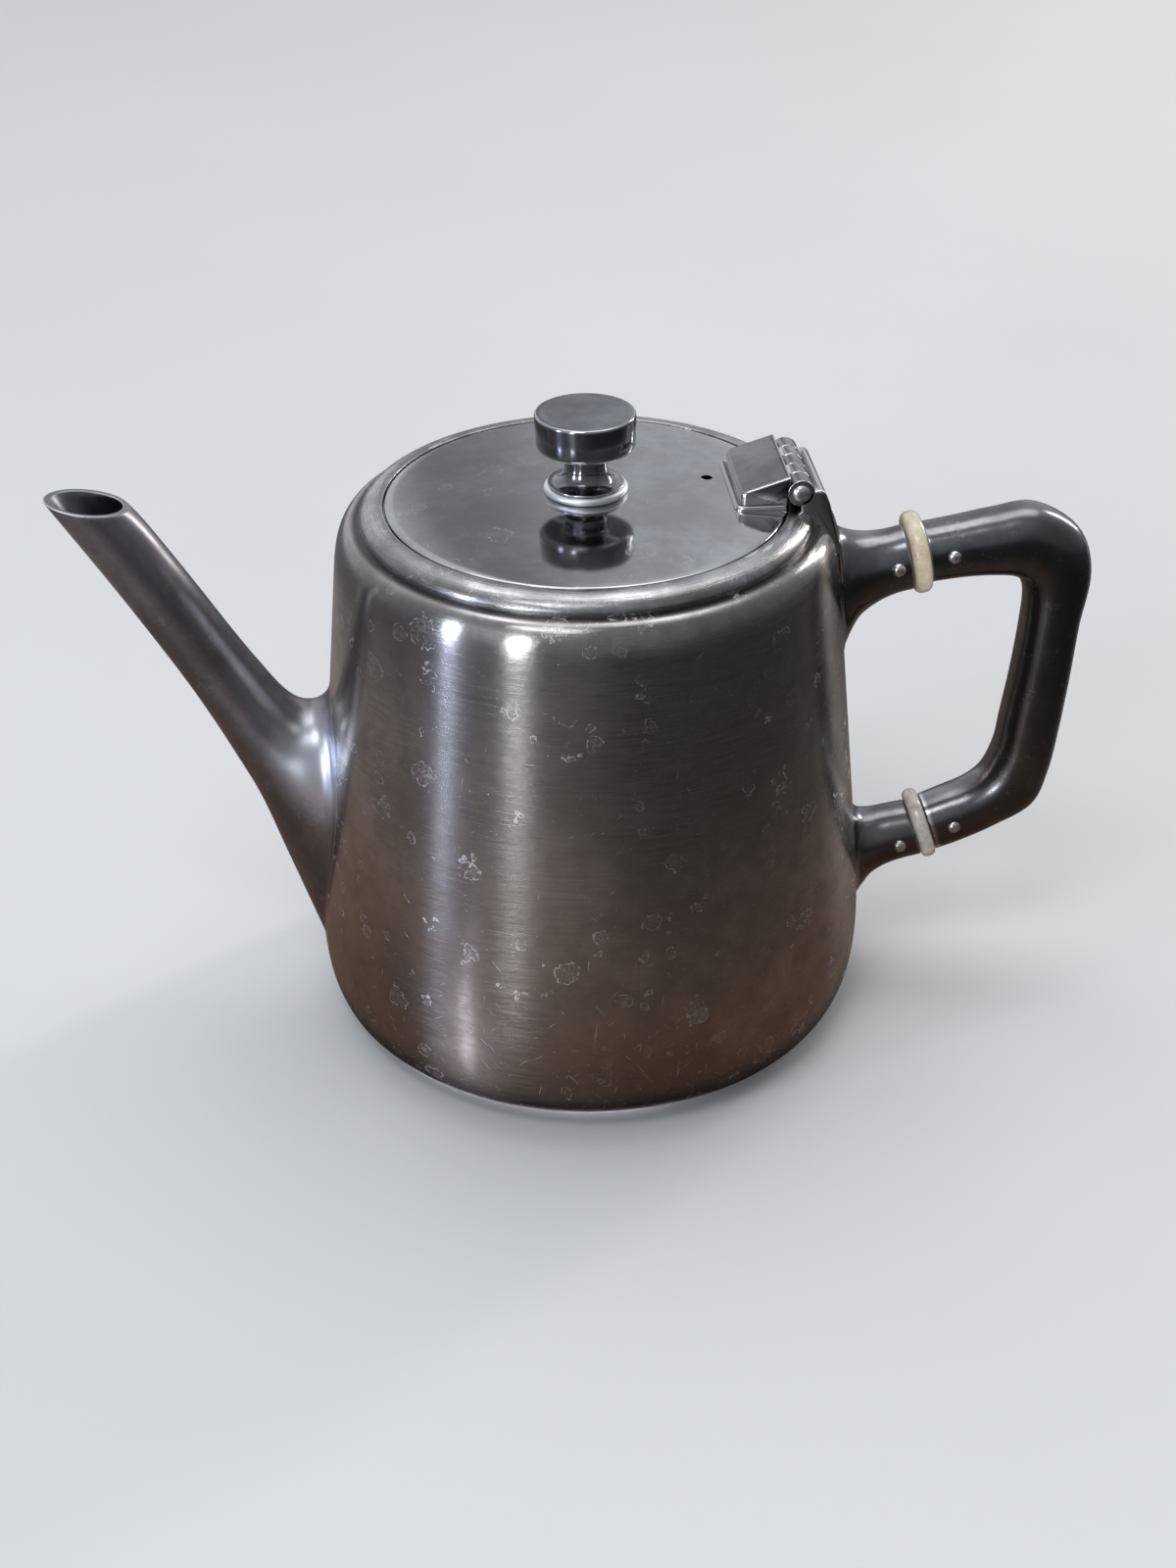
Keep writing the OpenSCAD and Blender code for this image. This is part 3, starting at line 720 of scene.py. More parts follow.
def make_block():
    """Wedge that rises towards the hinge, the plate under it, and the lid's two knuckles on their lugs."""
    base = LID_EDGE - 0.35
    half = HINGE_W / 2
    low_x, high_x = HINGE.x - 10.9, HINGE.x - 2.75
    front_top, back_top = HINGE.z + 0.45, HINGE.z + 3.3
    rise = (back_top - front_top) / (high_x + 0.8 - low_x)
    block = make_slab("hinge_block_skin", (low_x, high_x), half, base,
                      lambda x: front_top + rise * (x - low_x), 1.3, 0.5, 0.8)
    plate_top = LID_EDGE + 1.5
    plate = make_slab("plate", (HINGE.x - 12, high_x), half + 1, base, lambda x: plate_top, 1.8, 0.8)
    block = carved(block, [knuckle_pocket(p) for p in POT_PLACES], sharp=40)
    near, far, low, high = HINGE.x - 3.4, HINGE.x - 1.0, HINGE.z - 2.2, HINGE.z + 2.2
    lugs = []
    for place in LID_PLACES:
        y = knuckle_y(place)
        lugs.append(prism("lug", [(near, low), (far, low), (far, high), (near, high)],
                          y - KNUCKLE_W / 2 + 0.1, y + KNUCKLE_W / 2 - 0.1, 0.1, 1))
        lugs.append(knuckle(place, KNUCKLE_R, 0.06, 0.3))
    return joined("hinge_block_skin", [block, plate] + lugs)


def knuckle_pocket(place):
    """Bar that clears the room for one of the pot's knuckles in the lid's block."""
    centre = (HINGE.x, knuckle_y(place), HINGE.z)
    return rod(KNUCKLE_W + 0.6, KNUCKLE_R + 0.25, centre, (0, 1, 0), 64)


# ---- Lid ----

def make_lid():
    steps = 30
    radii = [(LID_R - 0.5) * i / steps for i in range(steps + 1)]
    top = [Vector((r, lid_z(r))) for r in radii]
    edge = rounded([(LID_R - 0.5, lid_z(LID_R - 0.5), 0), (LID_R, LID_EDGE - 0.1, 0.28),
                    (LID_R, LID_SEAT, 0.15), (BEZEL_R - 1.4, LID_SEAT, 0)])
    under = [Vector((r, lid_z(r) - LID_SHEET - 0.02)) for r in radii[::-1] if r < BEZEL_R - 2.5]
    made = lathe("lid_skin", top[:-1] + edge + under)
    x, y = VENT_AT
    near_vent = 20
    low, high = lid_z(near_vent) - 0.5, lid_z(near_vent) + 0.35
    countersink = lathe("sink", [(0, low), (VENT_R - 0.25, low), (VENT_R + 0.35, high), (0, high)],
                        around=32)
    countersink = moved(countersink, Matrix.Translation((x, y, 0)))
    made = carved(made, [rod(12, VENT_R, (x, y, LID_SEAT), (0, 0, 1))])
    return carved(made, [countersink])


def make_bezel():
    low = span("lid_bezel")[0].z
    top = LID_SEAT - 0.02
    return lathe("lid_bezel_skin", rounded([(BEZEL_R - 0.9, top, 0), (BEZEL_R - 1.1, low, 0.3),
                                            (BEZEL_R - 0.2, low, 0.3), (BEZEL_R, top, 0)]), loop=True)


def make_knob():
    """Stud, beaded foot, sharp lip, hollow flare, waist and drum, turned in one."""
    pad = lid_z(KNOB_FOOT_R) + 0.02
    drum_z = KNOB_TOP - DRUM_H
    bead = 0.75
    bead_z = pad + bead
    lip_z = bead_z + 1.2
    flare_h = 3.3
    collar = 1.0
    low = LID_SEAT - 3.2
    line = rounded([(0, low, 0), (STUD_R, low, 0.3), (STUD_R, pad, 0), (KNOB_FOOT_R - 1.1, pad, 0.2)])
    line += arc(KNOB_FOOT_R - bead, bead_z, bead, -80, 65, 14)
    line += rounded([(KNOB_LIP_R - 0.5, bead_z + bead, 0.1), (KNOB_LIP_R - 0.45, lip_z - 0.3, 0.08),
                     (KNOB_LIP_R, lip_z - 0.22, 0.1), (KNOB_LIP_R, lip_z, 0.1),
                     (KNOB_LIP_R - 0.4, lip_z + 0.04, 0)], 3)
    flare = KNOB_LIP_R - 0.4 - WAIST_R
    line += [Vector((WAIST_R + flare * (1 - math.sin(a)), lip_z + 0.04 + flare_h * (1 - math.cos(a))))
             for a in quarter(18)[1:]]
    line += [Vector((WAIST_R + collar * (1 - math.cos(a)), drum_z - collar + collar * math.sin(a)))
             for a in quarter(8)]
    line += rounded([(WAIST_R + collar + 0.1, drum_z, 0), (KNOB_R - 0.05, drum_z, 1.5),
                     (KNOB_R, drum_z + 3.2, 1.2), (KNOB_R, KNOB_TOP, 0.95),
                     (KNOB_R - 1.3, KNOB_TOP - 0.01, 0)], 6)
    flat = KNOB_TOP - 0.03
    line += [Vector((r, flat)) for r in (KNOB_R - 1.7, KNOB_R - 2.2, KNOB_R - 3.2, 0)]
    return lathe("knob_skin", line, around=128)


def make_washer():
    low, high = span("knob_washer")
    radius = (high.x - low.x) / 2
    return lathe("knob_washer_skin", rounded([(STUD_R + 0.06, low.z, 0.1), (radius, low.z, 0.15),
                                              (radius, high.z, 0.1), (STUD_R + 0.06, high.z, 0.1)], 2),
                 loop=True, around=64)


def make_nut():
    """Hexagonal nut with chamfered corners."""
    low, high = span("knob_nut")
    flats = (high.y - low.y) / 2
    half_side = math.pi / 6
    bore_r = STUD_R + 0.04
    levels = [(low.z, -0.35), (low.z + 0.35, 0.3), (high.z - 0.35, 0.3), (high.z, -0.35),
              (high.z, None), (low.z, None)]
    rings = []
    for z, limit in levels:
        ring = []
        for a in full_turn(72):
            to_flat = (a + half_side) % (2 * half_side) - half_side
            hexagon = flats / math.cos(to_flat)
            r = bore_r if limit is None else min(hexagon, flats / math.cos(half_side) + limit)
            ring.append((r * math.cos(a + half_side), r * math.sin(a + half_side), z))
        rings.append(ring)
    return skin("knob_nut_skin", rings, loop=True, sharp=20)


# ---- Materials ----

class Graph:
    """Short ways to build the nodes of a material or a world."""

    def __init__(self, owner, shader):
        owner.use_nodes = True
        self.owner = owner
        self.tree = owner.node_tree
        self.shader = self.tree.nodes[shader]
        self.source = self.node("TexCoord").outputs

    def node(self, kind, inputs=(), **settings):
        made = self.tree.nodes.new("ShaderNode" + kind)
        for key, value in settings.items():
            setattr(made, key, value)
        for key, value in dict(inputs).items():
            self.put(made.inputs[key], value)
        return made

    def put(self, socket, value):
        if isinstance(value, bpy.types.NodeSocket):
            self.tree.links.new(value, socket)
        else:
            socket.default_value = value

    def set(self, **values):
        """Sets the shader's inputs; underscores stand for spaces."""
        for key, value in values.items():
            self.put(self.shader.inputs[key.replace("_", " ")], value)

    def vector(self, operation, a, b=None):
        made = self.node("VectorMath", operation=operation)
        self.put(made.inputs[0], a)
        if b is not None:
            self.put(made.inputs["Scale" if operation == "SCALE" else 1], b)
        return made.outputs["Value" if operation in ("LENGTH", "DOT_PRODUCT") else "Vector"]

    def axis(self, source, letter):
        """The X, Y or Z of a vector."""
        return self.node("SeparateXYZ", {"Vector": source}).outputs[letter]

    def math(self, operation, a, b=0.0, clamp=False):
        made = self.node("Math", operation=operation, use_clamp=clamp)
        self.put(made.inputs[0], a)
        self.put(made.inputs[1], b)
        return made.outputs[0]

    def times(self, a, b):
        return self.math("MULTIPLY", a, b)

    def plus(self, a, b, clamp=False):
        return self.math("ADD", a, b, clamp)

    def stretched(self, x, y, z):
        return self.vector("MULTIPLY", self.place, (x, y, z))

    def wound(self, along, across):
        """Place stretched round the Z axis: slow along a turned line, quick from one line to the next."""
        radius = self.vector("LENGTH", self.stretched(1, 1, 0))
        line = self.times(self.math("SUBTRACT", radius, self.axis(self.place, "Z")), across)
        spread = self.stretched(along, along, 0)
        parts = {"X": self.axis(spread, "X"), "Y": self.axis(spread, "Y"), "Z": line}
        return self.node("CombineXYZ", parts).outputs[0]

    def turned(self, source, y=0.0, z=0.0):
        angles = (0.0, math.radians(y), math.radians(z))
        return self.node("Mapping", {"Vector": source, "Rotation": angles}).outputs[0]

    def noise(self, where, scale, detail=3.0, rough=0.55, distortion=0.0):
        return self.node("TexNoise", {"Vector": where, "Scale": scale, "Detail": detail, "Roughness": rough,
                                      "Distortion": distortion}).outputs[0]

    def cells(self, where, scale):
        made = self.node("TexVoronoi", {"Vector": where, "Scale": scale})
        return made.outputs["Distance"], made.outputs["Color"]

    def span(self, value, low, high, to_low=0.0, to_high=1.0, smooth=True):
        """Maps low..high to to_low..to_high, held at both ends."""
        made = self.node("MapRange", {"Value": value, "From Min": low, "From Max": high,
                                      "To Min": to_low, "To Max": to_high},
                         interpolation_type="SMOOTHSTEP" if smooth else "LINEAR")
        return made.outputs[0]

    def fall(self, value, low, high):
        """1 below low, 0 above high."""
        return self.span(value, low, high, 1.0, 0.0)

    def band(self, value, middle, inner, outer):
        """1 within inner of a middle value, 0 further than outer from it."""
        return self.fall(self.math("ABSOLUTE", self.math("SUBTRACT", value, middle)), inner, outer)

    def mix(self, share, a, b):
        made = self.node("Mix", data_type="RGBA")
        self.put(made.inputs[0], share)
        self.put(made.inputs[6], a)
        self.put(made.inputs[7], b)
        return made.outputs[2]

    def tint(self, colour, other, where, share):
        """colour with a share of another laid over it where a value says so."""
        return self.mix(self.times(where, share), colour, other)

    def bump(self, height, strength, distance, under=None):
        inputs = {"Height": height, "Strength": strength, "Distance": distance * MM}
        if under is not None:
            inputs["Normal"] = under
        return self.node("Bump", inputs).outputs[0]

    def edges(self, low=0.52, high=0.60):
        """1 along convex edges, 0 on flat and hollow places."""
        return self.span(self.node("NewGeometry").outputs["Pointiness"], low, high)

    def seam_grime_and_shade(self):
        """1 in the thin lines of grime and painted shade where the body meets the foot ring and the mouth
        ring.
        """
        height = self.axis(self.place, "Z")
        foot = self.band(height, FOOT_H + 1.3, 1.2, 2.1)
        mouth = self.band(height, LAND_Z + 0.1, 0.05, 0.3)
        return self.plus(foot, mouth, clamp=True)

    def shaded_flanks(self):
        """Where painted shade goes: 1 on faces that look sideways or down, 0 on those that look up."""
        return self.fall(self.axis(self.source["Normal"], "Z"), -0.1, 0.6)

    def hollow_grime_and_shade(self, low=0.40, high=0.49):
        """1 in hollow corners, where grime and painted shade go, 0 elsewhere."""
        return self.fall(self.node("NewGeometry").outputs["Pointiness"], low, high)


def material_graph(name):
    """Graph of a new material, whose place is the object's own coordinates in millimetres."""
    g = Graph(bpy.data.materials.new(name), "Principled BSDF")
    g.place = g.vector("SCALE", g.source["Object"], 1 / MM)
    return g


def rgb(r, g, b):
    return (r, g, b, 1.0)


def water_marks(g, scale, shift):
    """Dried drops: thin wobbly rings of random size with a faint film inside, in some of the cells."""
    where = g.vector("ADD", g.place, (shift, shift, shift))
    distance, random = g.cells(where, scale)
    red = g.node("SeparateColor", {"Color": random}).outputs["Red"]
    size = g.span(red, 0.4, 1.0, 0.0, 0.38, smooth=False)
    wobble = g.times(g.math("SUBTRACT", g.noise(where, 0.5, 2.5), 0.5), 0.7)
    off = g.math("SUBTRACT", g.plus(distance, wobble), size)
    outline = g.fall(g.math("ABSOLUTE", off), 0.008, 0.034)
    outline = g.times(outline, g.span(g.noise(where, 0.9, 3.0), 0.38, 0.55))
    film = g.times(g.span(off, -0.12, 0.0, 0.4, 0.0), g.span(g.noise(where, 2.0, 3.0), 0.4, 0.65))
    return g.times(g.plus(outline, film, clamp=True), g.span(size, 0.06, 0.12))


def scratches(g, tilt, along, across, shift, rarer):
    """Short fine lines that run one way. rarer thins them out where it is above 0."""
    level = 0.70
    where = g.vector("MULTIPLY", g.turned(g.place, y=tilt), (along, along, across))
    value = g.noise(g.vector("ADD", where, (shift, shift, shift)), 1.0, 2.0, 0.5)
    return g.span(g.math("SUBTRACT", value, rarer), level, level + 0.035)


def silver(name, clean, dull, rough, marks, lines, anisotropic=0.0, wear=0.8, nicked=0.5, relief=1.0,
           edge=(0.52, 0.60), grimed_and_shaded_seams=False, scuffed_and_lit_below=None, flank_shade=0.0, painted_glow_at=None):
    """Old silver plate: cloudy tarnish, worn edges, fine turned lines, drop marks, specks and nicks, with
    painted shade in hollows, seams and on flanks, and painted highlights where asked.
    """
    g = material_graph(name)
    cloud = g.span(g.noise(g.place, 0.055, 4.0, 0.6), 0.36, 0.66)
    mottle = g.span(g.noise(g.place, 0.22, 5.0, 0.65), 0.42, 0.66)
    grain = g.noise(g.place, 1.4, 3.0, 0.6)
    wiping = g.noise(g.wound(0.13, 2.6), 1.0, 4.0, 0.65)
    fine = g.noise(g.wound(0.4, 8.0), 1.0, 3.0, 0.6)
    patch = g.span(g.noise(g.place, 0.04, 2.0, 0.5, 0.3), 0.38, 0.52)
    drops = g.plus(water_marks(g, 0.13, 0.0), water_marks(g, 0.22, 57.0), clamp=True)
    drops = g.times(g.times(drops, patch), marks)
    specks = g.span(g.noise(g.place, 1.9, 1.0, 0.4), 0.77, 0.80, 0.0, marks)
    height = g.axis(g.place, "Z")
    rarer = g.span(height, 6, 45, 0.0, 0.14 * (1 - nicked))
    nicks = g.plus(scratches(g, 38, 0.22, 4.6, 0.0, rarer), scratches(g, -52, 0.18, 4.2, 17.0, rarer))
    nicks = g.plus(nicks, scratches(g, 84, 0.16, 3.4, 31.0, rarer), clamp=True)

    colour = g.tint(clean, dull, cloud, 0.85)
    colour = g.tint(colour, dull, mottle, 0.35)
    colour = g.tint(colour, dull, g.span(wiping, 0.42, 0.7), 0.30 * lines)
    colour = g.tint(colour, dull, g.span(grain, 0.45, 0.75), 0.25)
    # Tarnish and painted shade: hollow corners turn near black.
    colour = g.tint(colour, rgb(0.04, 0.035, 0.035), g.hollow_grime_and_shade(), 0.8)
    # Painted shade: faces that look sideways or down are darkened towards navy black.
    if flank_shade:
        colour = g.tint(colour, rgb(0.06, 0.065, 0.08), g.shaded_flanks(), flank_shade)
    # Painted shade, with some grime: thin near-black lines where the body meets the foot ring and the mouth
    # ring.
    if grimed_and_shaded_seams:
        colour = g.tint(colour, rgb(0.04, 0.035, 0.03), g.seam_grime_and_shade(), 0.85)
    colour = g.tint(colour, rgb(0.90, 0.89, 0.88), g.edges(*edge), wear)
    colour = g.tint(colour, rgb(0.76, 0.75, 0.75), drops, 0.65)
    colour = g.tint(colour, rgb(0.88, 0.88, 0.90), specks, 0.8)
    colour = g.tint(colour, rgb(0.85, 0.83, 0.80), nicks, 0.6)

    roughness = g.plus(rough, g.span(cloud, 0.0, 1.0, -0.02 * relief, 0.04 * relief))
    roughness = g.plus(roughness, g.span(wiping, 0.3, 0.7, -0.03 * lines, 0.05 * lines))
    roughness = g.plus(roughness, g.times(drops, 0.3))
    roughness = g.plus(roughness, g.times(nicks, 0.15), clamp=True)
    # Rubbed, rougher band below a height, lightened bluish white as a painted highlight; used on the knob's
    # bead.
    if scuffed_and_lit_below:
        scuff_and_highlight = g.fall(height, scuffed_and_lit_below - 0.3, scuffed_and_lit_below)
        colour = g.mix(scuff_and_highlight, colour, rgb(0.93, 0.95, 0.98))
        roughness = g.plus(roughness, g.times(scuff_and_highlight, 0.32))
    # Painted highlight: a bluish-white glow round a point, used at the spout's root.
    if painted_glow_at:
        bright = g.fall(g.vector("LENGTH", g.vector("SUBTRACT", g.place, painted_glow_at)), 5, 17)
        colour = g.tint(colour, rgb(0.82, 0.85, 0.93), bright, 0.75)

    turning = g.plus(g.times(wiping, 0.6 * lines), g.times(fine, 0.3 * lines))
    turning = g.plus(turning, g.times(grain, 0.12))
    normal = g.bump(turning, 0.4 * relief, 0.06)
    marked = g.times(g.plus(drops, specks), 0.4)
    normal = g.bump(g.math("SUBTRACT", marked, g.times(nicks, 0.5)), 0.35, 0.05, normal)
    normal = g.bump(g.noise(g.place, 0.09, 2.0, 0.5), 0.12 * relief, 0.25, normal)

    g.set(Base_Color=colour, Roughness=roughness, Normal=normal, Metallic=1.0, Anisotropic=anisotropic)
    if anisotropic:
        tangent = g.node("Tangent", direction_type="RADIAL", axis="Z").outputs[0]
        g.set(Tangent=tangent, Anisotropic_Rotation=0.25)
    return g.owner


def insulator_material(name, pale, stained, gloss):
    """Old moulded insulator: cloudy yellowed body with a soft polish, and grime and painted shade in the
    hollow corners at its edges.
    """
    g = material_graph(name)
    cloud = g.span(g.noise(g.place, 0.28, 4.0, 0.6), 0.35, 0.7)
    grain = g.span(g.noise(g.place, 2.2, 3.0, 0.6), 0.42, 0.75)
    streak = g.span(g.noise(g.stretched(1.2, 0.2, 0.2), 1.0, 3.0, 0.6), 0.45, 0.7)
    colour = g.mix(cloud, pale, stained)
    colour = g.tint(colour, stained, streak, 0.35)
    colour = g.tint(colour, rgb(0.30, 0.24, 0.15), grain, 0.3)
    # Grime and painted shade: hollow corners turn dark brown.
    colour = g.mix(g.hollow_grime_and_shade(0.42, 0.497), colour, rgb(0.08, 0.065, 0.045))
    roughness = g.span(grain, 0.0, 1.0, gloss, gloss + 0.15)
    normal = g.bump(g.noise(g.place, 1.1, 3.0, 0.6), 0.2, 0.08)
    g.set(Base_Color=colour, Roughness=roughness, Normal=normal, Subsurface_Weight=0.12,
          Subsurface_Scale=0.6 * MM, Coat_Weight=0.7, Coat_Roughness=0.09)
    return g.owner


def floor_material():
    """Plain pale floor with the faintest unevenness."""
    g = material_graph("pale_floor")
    shade = g.span(g.noise(g.place, 0.004, 3.0, 0.5), 0.3, 0.7)
    colour = g.mix(shade, rgb(0.83, 0.815, 0.79), rgb(0.85, 0.835, 0.81))
    g.set(Base_Color=colour, Roughness=0.55, Specular_IOR_Level=0.0)
    return g.owner


def card_material():
    """Card that only reflections see: warm near the pot, greyer and dark further out, darker to the right.

    A soft glow in front of the pot stands for the light that the pot throws on its table. Beside the
    foot a thin dark band stands for its shadow, and a bright line for its own reflection.
    """
    g = material_graph("warm_card")
    away = g.vector("LENGTH", g.stretched(1, 1, 0))
    across = g.span(g.axis(g.place, "X"), -90, 80)
    colour = g.mix(g.span(away, 70, 130), rgb(0.175, 0.09, 0.048), rgb(0.22, 0.135, 0.088))
    colour = g.mix(g.span(away, 130, 190), colour, rgb(0.33, 0.27, 0.235))
    colour = g.mix(g.span(away, 190, 270), colour, rgb(0.10, 0.09, 0.09))
    shade = g.times(across, g.span(away, 60, 200))
    colour = g.tint(colour, rgb(0.014, 0.011, 0.009), shade, 0.92)
    gap = g.times(g.span(away, 49, 51), g.span(away, 53, 60, 0.9, 0.0))
    colour = g.mix(gap, colour, rgb(0.008, 0.006, 0.005))
    beside = g.turned(g.vector("SUBTRACT", g.place, (-60.0, -66.0, 0.0)), z=-32)
    core = g.vector("LENGTH", g.vector("MULTIPLY", beside, (1 / 26, 1 / 3.5, 0)))
    halo = g.vector("LENGTH", g.vector("MULTIPLY", beside, (1 / 34, 1 / 15, 0)))
    glow = g.plus(g.fall(core, 0.3, 1.3), g.span(halo, 0.2, 1.4, 0.35, 0.0))
    facing = g.vector("DOT_PRODUCT", g.vector("NORMALIZE", g.place), (-0.4, -0.917, 0))
    crescent = g.times(g.fall(away, 48.5, 50), g.span(facing, 0.55, 0.98, 0.0, 0.8))
    glow = g.plus(glow, crescent, clamp=True)
    g.set(Base_Color=colour, Roughness=0.5, Emission_Strength=1.0,
          Emission_Color=g.mix(glow, rgb(0, 0, 0), rgb(1.38, 1.36, 1.55)))
    return g.owner


# ---- Camera, floor and light ----

CAMERA_PLACE = Vector((-32.402, -374.116, 278.706))
CAMERA_TURN = (58.1213, 0.4811, -5.2293)


def make_camera():
    """The camera, turned from straight down by CAMERA_TURN degrees about X, Y and Z."""
    data = bpy.data.cameras.new("camera")
    data.lens = 51.75
    data.sensor_width = 36
    data.clip_start = 0.01
    camera = added("camera", data)
    turn = Euler([math.radians(a) for a in CAMERA_TURN]).to_matrix().to_4x4()
    camera.matrix_world = Matrix.Translation(CAMERA_PLACE * MM) @ turn
    bpy.context.scene.camera = camera


def make_floor(name, height, material):
    reach = 4000
    made = solid(name, [(-reach, -reach, height), (reach, -reach, height), (reach, reach, height),
                        (-reach, reach, height)], [(0, 1, 2, 3)])
    made.data.materials.append(material)
    return made


def make_panel(name, azimuth, elevation, distance, width, tall, radiance, colour):
    """Soft lamp that faces the pot. azimuth is counted from the camera's side, + to the right."""
    towards_camera = math.atan2(CAMERA_PLACE.y, CAMERA_PLACE.x)
    a, e = towards_camera + math.radians(azimuth), math.radians(elevation)
    place = Vector((math.cos(a) * math.cos(e), math.sin(a) * math.cos(e), math.sin(e))) * distance
    turn = place.to_track_quat("Z", "Y").to_matrix().to_4x4()
    data = bpy.data.lights.new(name, "AREA")
    data.shape = "RECTANGLE"
    data.size, data.size_y = width * MM, tall * MM
    data.energy = radiance * math.pi * data.size * data.size_y
    data.color = colour
    lamp = added(name, data)
    lamp.matrix_world = Matrix.Translation((place + Vector((0, 0, 60))) * MM) @ turn
    lamp.visible_camera = False


def make_world():
    """Soft grey room, lighter overhead on the camera's side, with panels of several greys behind."""
    world = bpy.data.worlds.new("room")
    g = Graph(world, "Background")
    view = g.source["Generated"]
    turn = g.math("ARCTAN2", g.axis(view, "X"), g.axis(view, "Y"))
    ramp = g.node("ValToRGB", {"Fac": g.span(turn, -math.pi, math.pi, smooth=False)})
    # Bearing in degrees from straight behind the pot, + towards the handle, and the grey there
    panels = [(-180, 0.14), (-125, 0.16), (-80, 0.26), (-40, 0.60), (-7, 0.80), (-3, 0.30), (1, 0.30),
              (5, 0.56), (9, 0.56), (15, 0.74), (42, 0.50), (75, 0.22), (120, 0.10), (180, 0.14)]
    stops = ramp.color_ramp.elements
    for bearing, _ in panels[1:-1]:
        stops.new((bearing + 180) / 360)
    for stop, (bearing, grey) in zip(stops, panels):
        stop.position = (bearing + 180) / 360
        stop.color = (grey * 0.95, grey * 0.99, grey * 1.08, 1)
    overhead = g.vector("DOT_PRODUCT", view, (0, -0.5, 0.87))
    g.set(Color=ramp.outputs[0], Strength=g.span(overhead, 0.15, 1.0, 1.0, 2.3, smooth=False))
    bpy.context.scene.world = world


def make_stage():
    floor = make_floor("floor", 0, floor_material())
    floor.visible_glossy = False
    card = make_floor("floor_reflection", 0.1, card_material())
    card.visible_camera = False
    card.visible_diffuse = False
    card.visible_shadow = False
    card.visible_transmission = False
    make_panel("window_left", -60, 9, 1500, 120, 480, 28, (0.64, 0.75, 1.0))
    make_panel("window_front", -29, 9, 1500, 150, 480, 17, (0.90, 0.95, 1.0))
    make_panel("window_glow", -44, 18, 1700, 1300, 900, 0.38, (0.80, 0.88, 1.0))
    make_panel("strip_right", 131, 20, 1500, 100, 700, 20, (1.0, 0.97, 0.94))
    make_panel("high_left", -24, 60, 1500, 560, 380, 5.5, (0.90, 0.95, 1.0))
    make_panel("soft_top", 165, 74, 1600, 1500, 900, 1.3, (0.95, 0.98, 1.0))


# ---- Pieces ----

def place(piece, body, slot, material, *nodes):
    """Gives a finished piece its material, its body and the CAD nodes it stands for."""
    piece.data.materials.clear()
    piece.data.materials.append(material)
    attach(piece, body)
    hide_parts(*nodes)


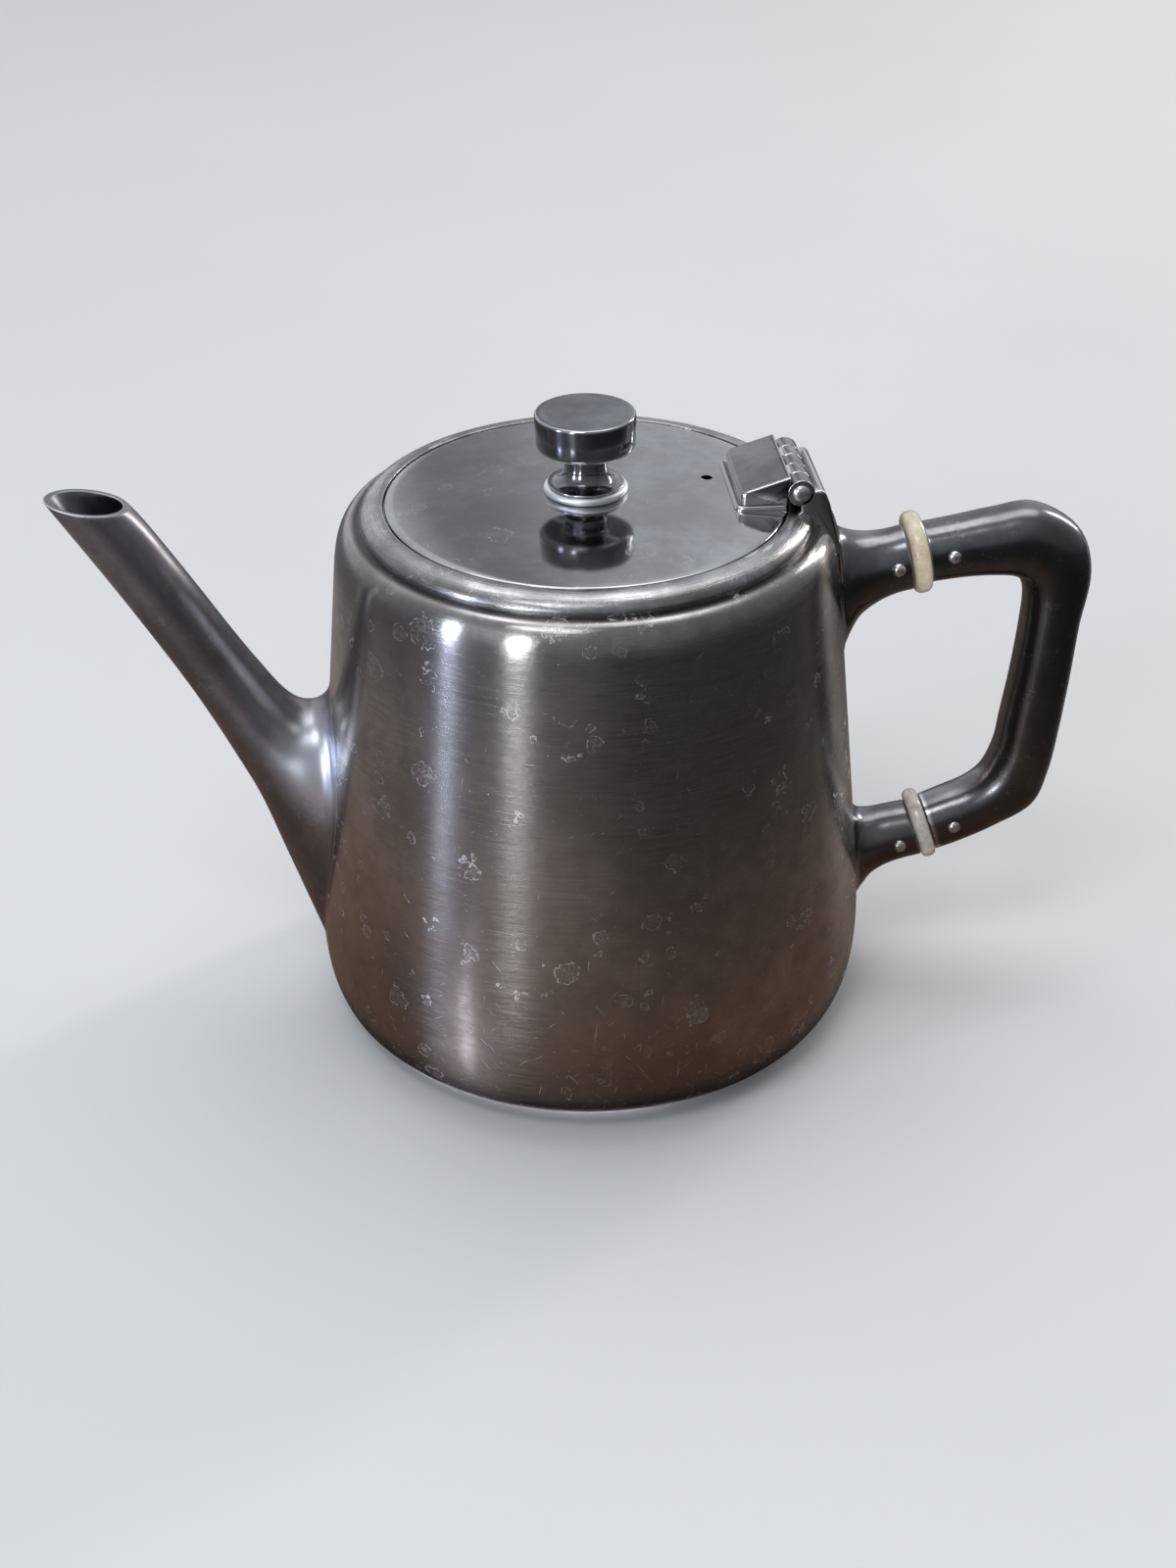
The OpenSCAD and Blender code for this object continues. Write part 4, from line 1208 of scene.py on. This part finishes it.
def make_pot(pin):
    body = silver("body_silver", rgb(0.48, 0.455, 0.44), rgb(0.31, 0.285, 0.27), 0.185, marks=1.0,
                  lines=1.3, anisotropic=0.9, nicked=0.6, grimed_and_shaded_seams=True)
    turned = silver("turned_silver", rgb(0.62, 0.61, 0.60), rgb(0.30, 0.29, 0.28), 0.22, marks=0.5,
                    lines=2.6, nicked=0.75, grimed_and_shaded_seams=True)
    spout = silver("spout_silver", rgb(0.36, 0.345, 0.355), rgb(0.21, 0.195, 0.20), 0.34, marks=0.3,
                   lines=0.3, nicked=0.4, flank_shade=0.25, painted_glow_at=(-47.0, -14.0, 60.0))
    fitting = silver("fitting_silver", rgb(0.30, 0.30, 0.305), rgb(0.17, 0.16, 0.16), 0.22, marks=0.2,
                     lines=0.3, nicked=0.4, edge=(0.51, 0.57), flank_shade=0.5)
    cream = insulator_material("cream_insulator", rgb(0.94, 0.84, 0.63), rgb(0.78, 0.64, 0.42), 0.18)
    grey = insulator_material("grey_insulator", rgb(0.76, 0.70, 0.64), rgb(0.50, 0.43, 0.37), 0.2)
    place(make_body(), "pot", "body_silver", body, "body_shell")
    place(make_foot(), "pot", "body_silver", turned, "foot_ring")
    place(make_mouth_ring(), "pot", "body_silver", turned, "mouth_ring")
    place(make_spout(), "pot", "fitting_silver", spout, "spout")
    for node, stations in (("upper_socket", UPPER_SOCKET), ("lower_socket", LOWER_SOCKET)):
        place(make_socket(node + "_skin", stations), "pot", "fitting_silver", fitting, node)
    place(make_grip(), "pot", "fitting_silver", fitting, "handle_grip")
    place(make_insulator(UPPER_JOINT), "pot", "cream_insulator", cream, "upper_insulator")
    place(make_insulator(LOWER_JOINT), "pot", "grey_insulator", grey, "lower_insulator")
    for node in ("upper_socket_pin", "upper_grip_pin", "lower_socket_pin", "lower_grip_pin"):
        place(make_pin(node, 1.25, 1.3, 0.8), "pot", "pin_silver", pin, node)
    place(make_bracket(), "pot", "fitting_silver", fitting, "hinge_bracket")
    place(make_pin("hinge_pin", PIN_R, PIN_R + 0.35, 0.7), "pot", "pin_silver", pin, "hinge_pin")


def make_lid_pieces(pin):
    lid = silver("lid_silver", rgb(0.53, 0.53, 0.535), rgb(0.40, 0.39, 0.385), 0.085, marks=0.5,
                 lines=0.3, nicked=0.4, relief=0.25)
    wedge = silver("wedge_silver", rgb(0.30, 0.295, 0.30), rgb(0.16, 0.15, 0.15), 0.14, marks=0.0,
                   lines=0.2, wear=1.0, nicked=0.0, relief=0.6, edge=(0.51, 0.555), flank_shade=0.75)
    knob = silver("knob_silver", rgb(0.34, 0.34, 0.36), rgb(0.20, 0.195, 0.20), 0.13, marks=0.0,
                  lines=0.2, wear=1.0, nicked=0.0, relief=0.6, edge=(0.51, 0.55), flank_shade=0.3,
                  scuffed_and_lit_below=lid_z(KNOB_FOOT_R) + 1.75)
    place(make_block(), "lid", "lid_silver", wedge, "hinge_block")
    place(make_lid(), "lid", "lid_silver", lid, "lid")
    place(make_bezel(), "lid", "lid_silver", lid, "lid_bezel")
    place(make_knob(), "lid", "lid_silver", knob, "knob")
    place(make_washer(), "lid", "pin_silver", pin, "knob_washer")
    place(make_nut(), "lid", "pin_silver", pin, "knob_nut")


def main():
    make_camera()
    make_world()
    make_stage()
    pin = silver("pin_silver", rgb(0.90, 0.90, 0.92), rgb(0.72, 0.71, 0.70), 0.30, marks=0.0, lines=0.2,
                 nicked=0.2)
    make_pot(pin)
    make_lid_pieces(pin)
    bpy.context.scene.view_settings.view_transform = "Standard"


main()
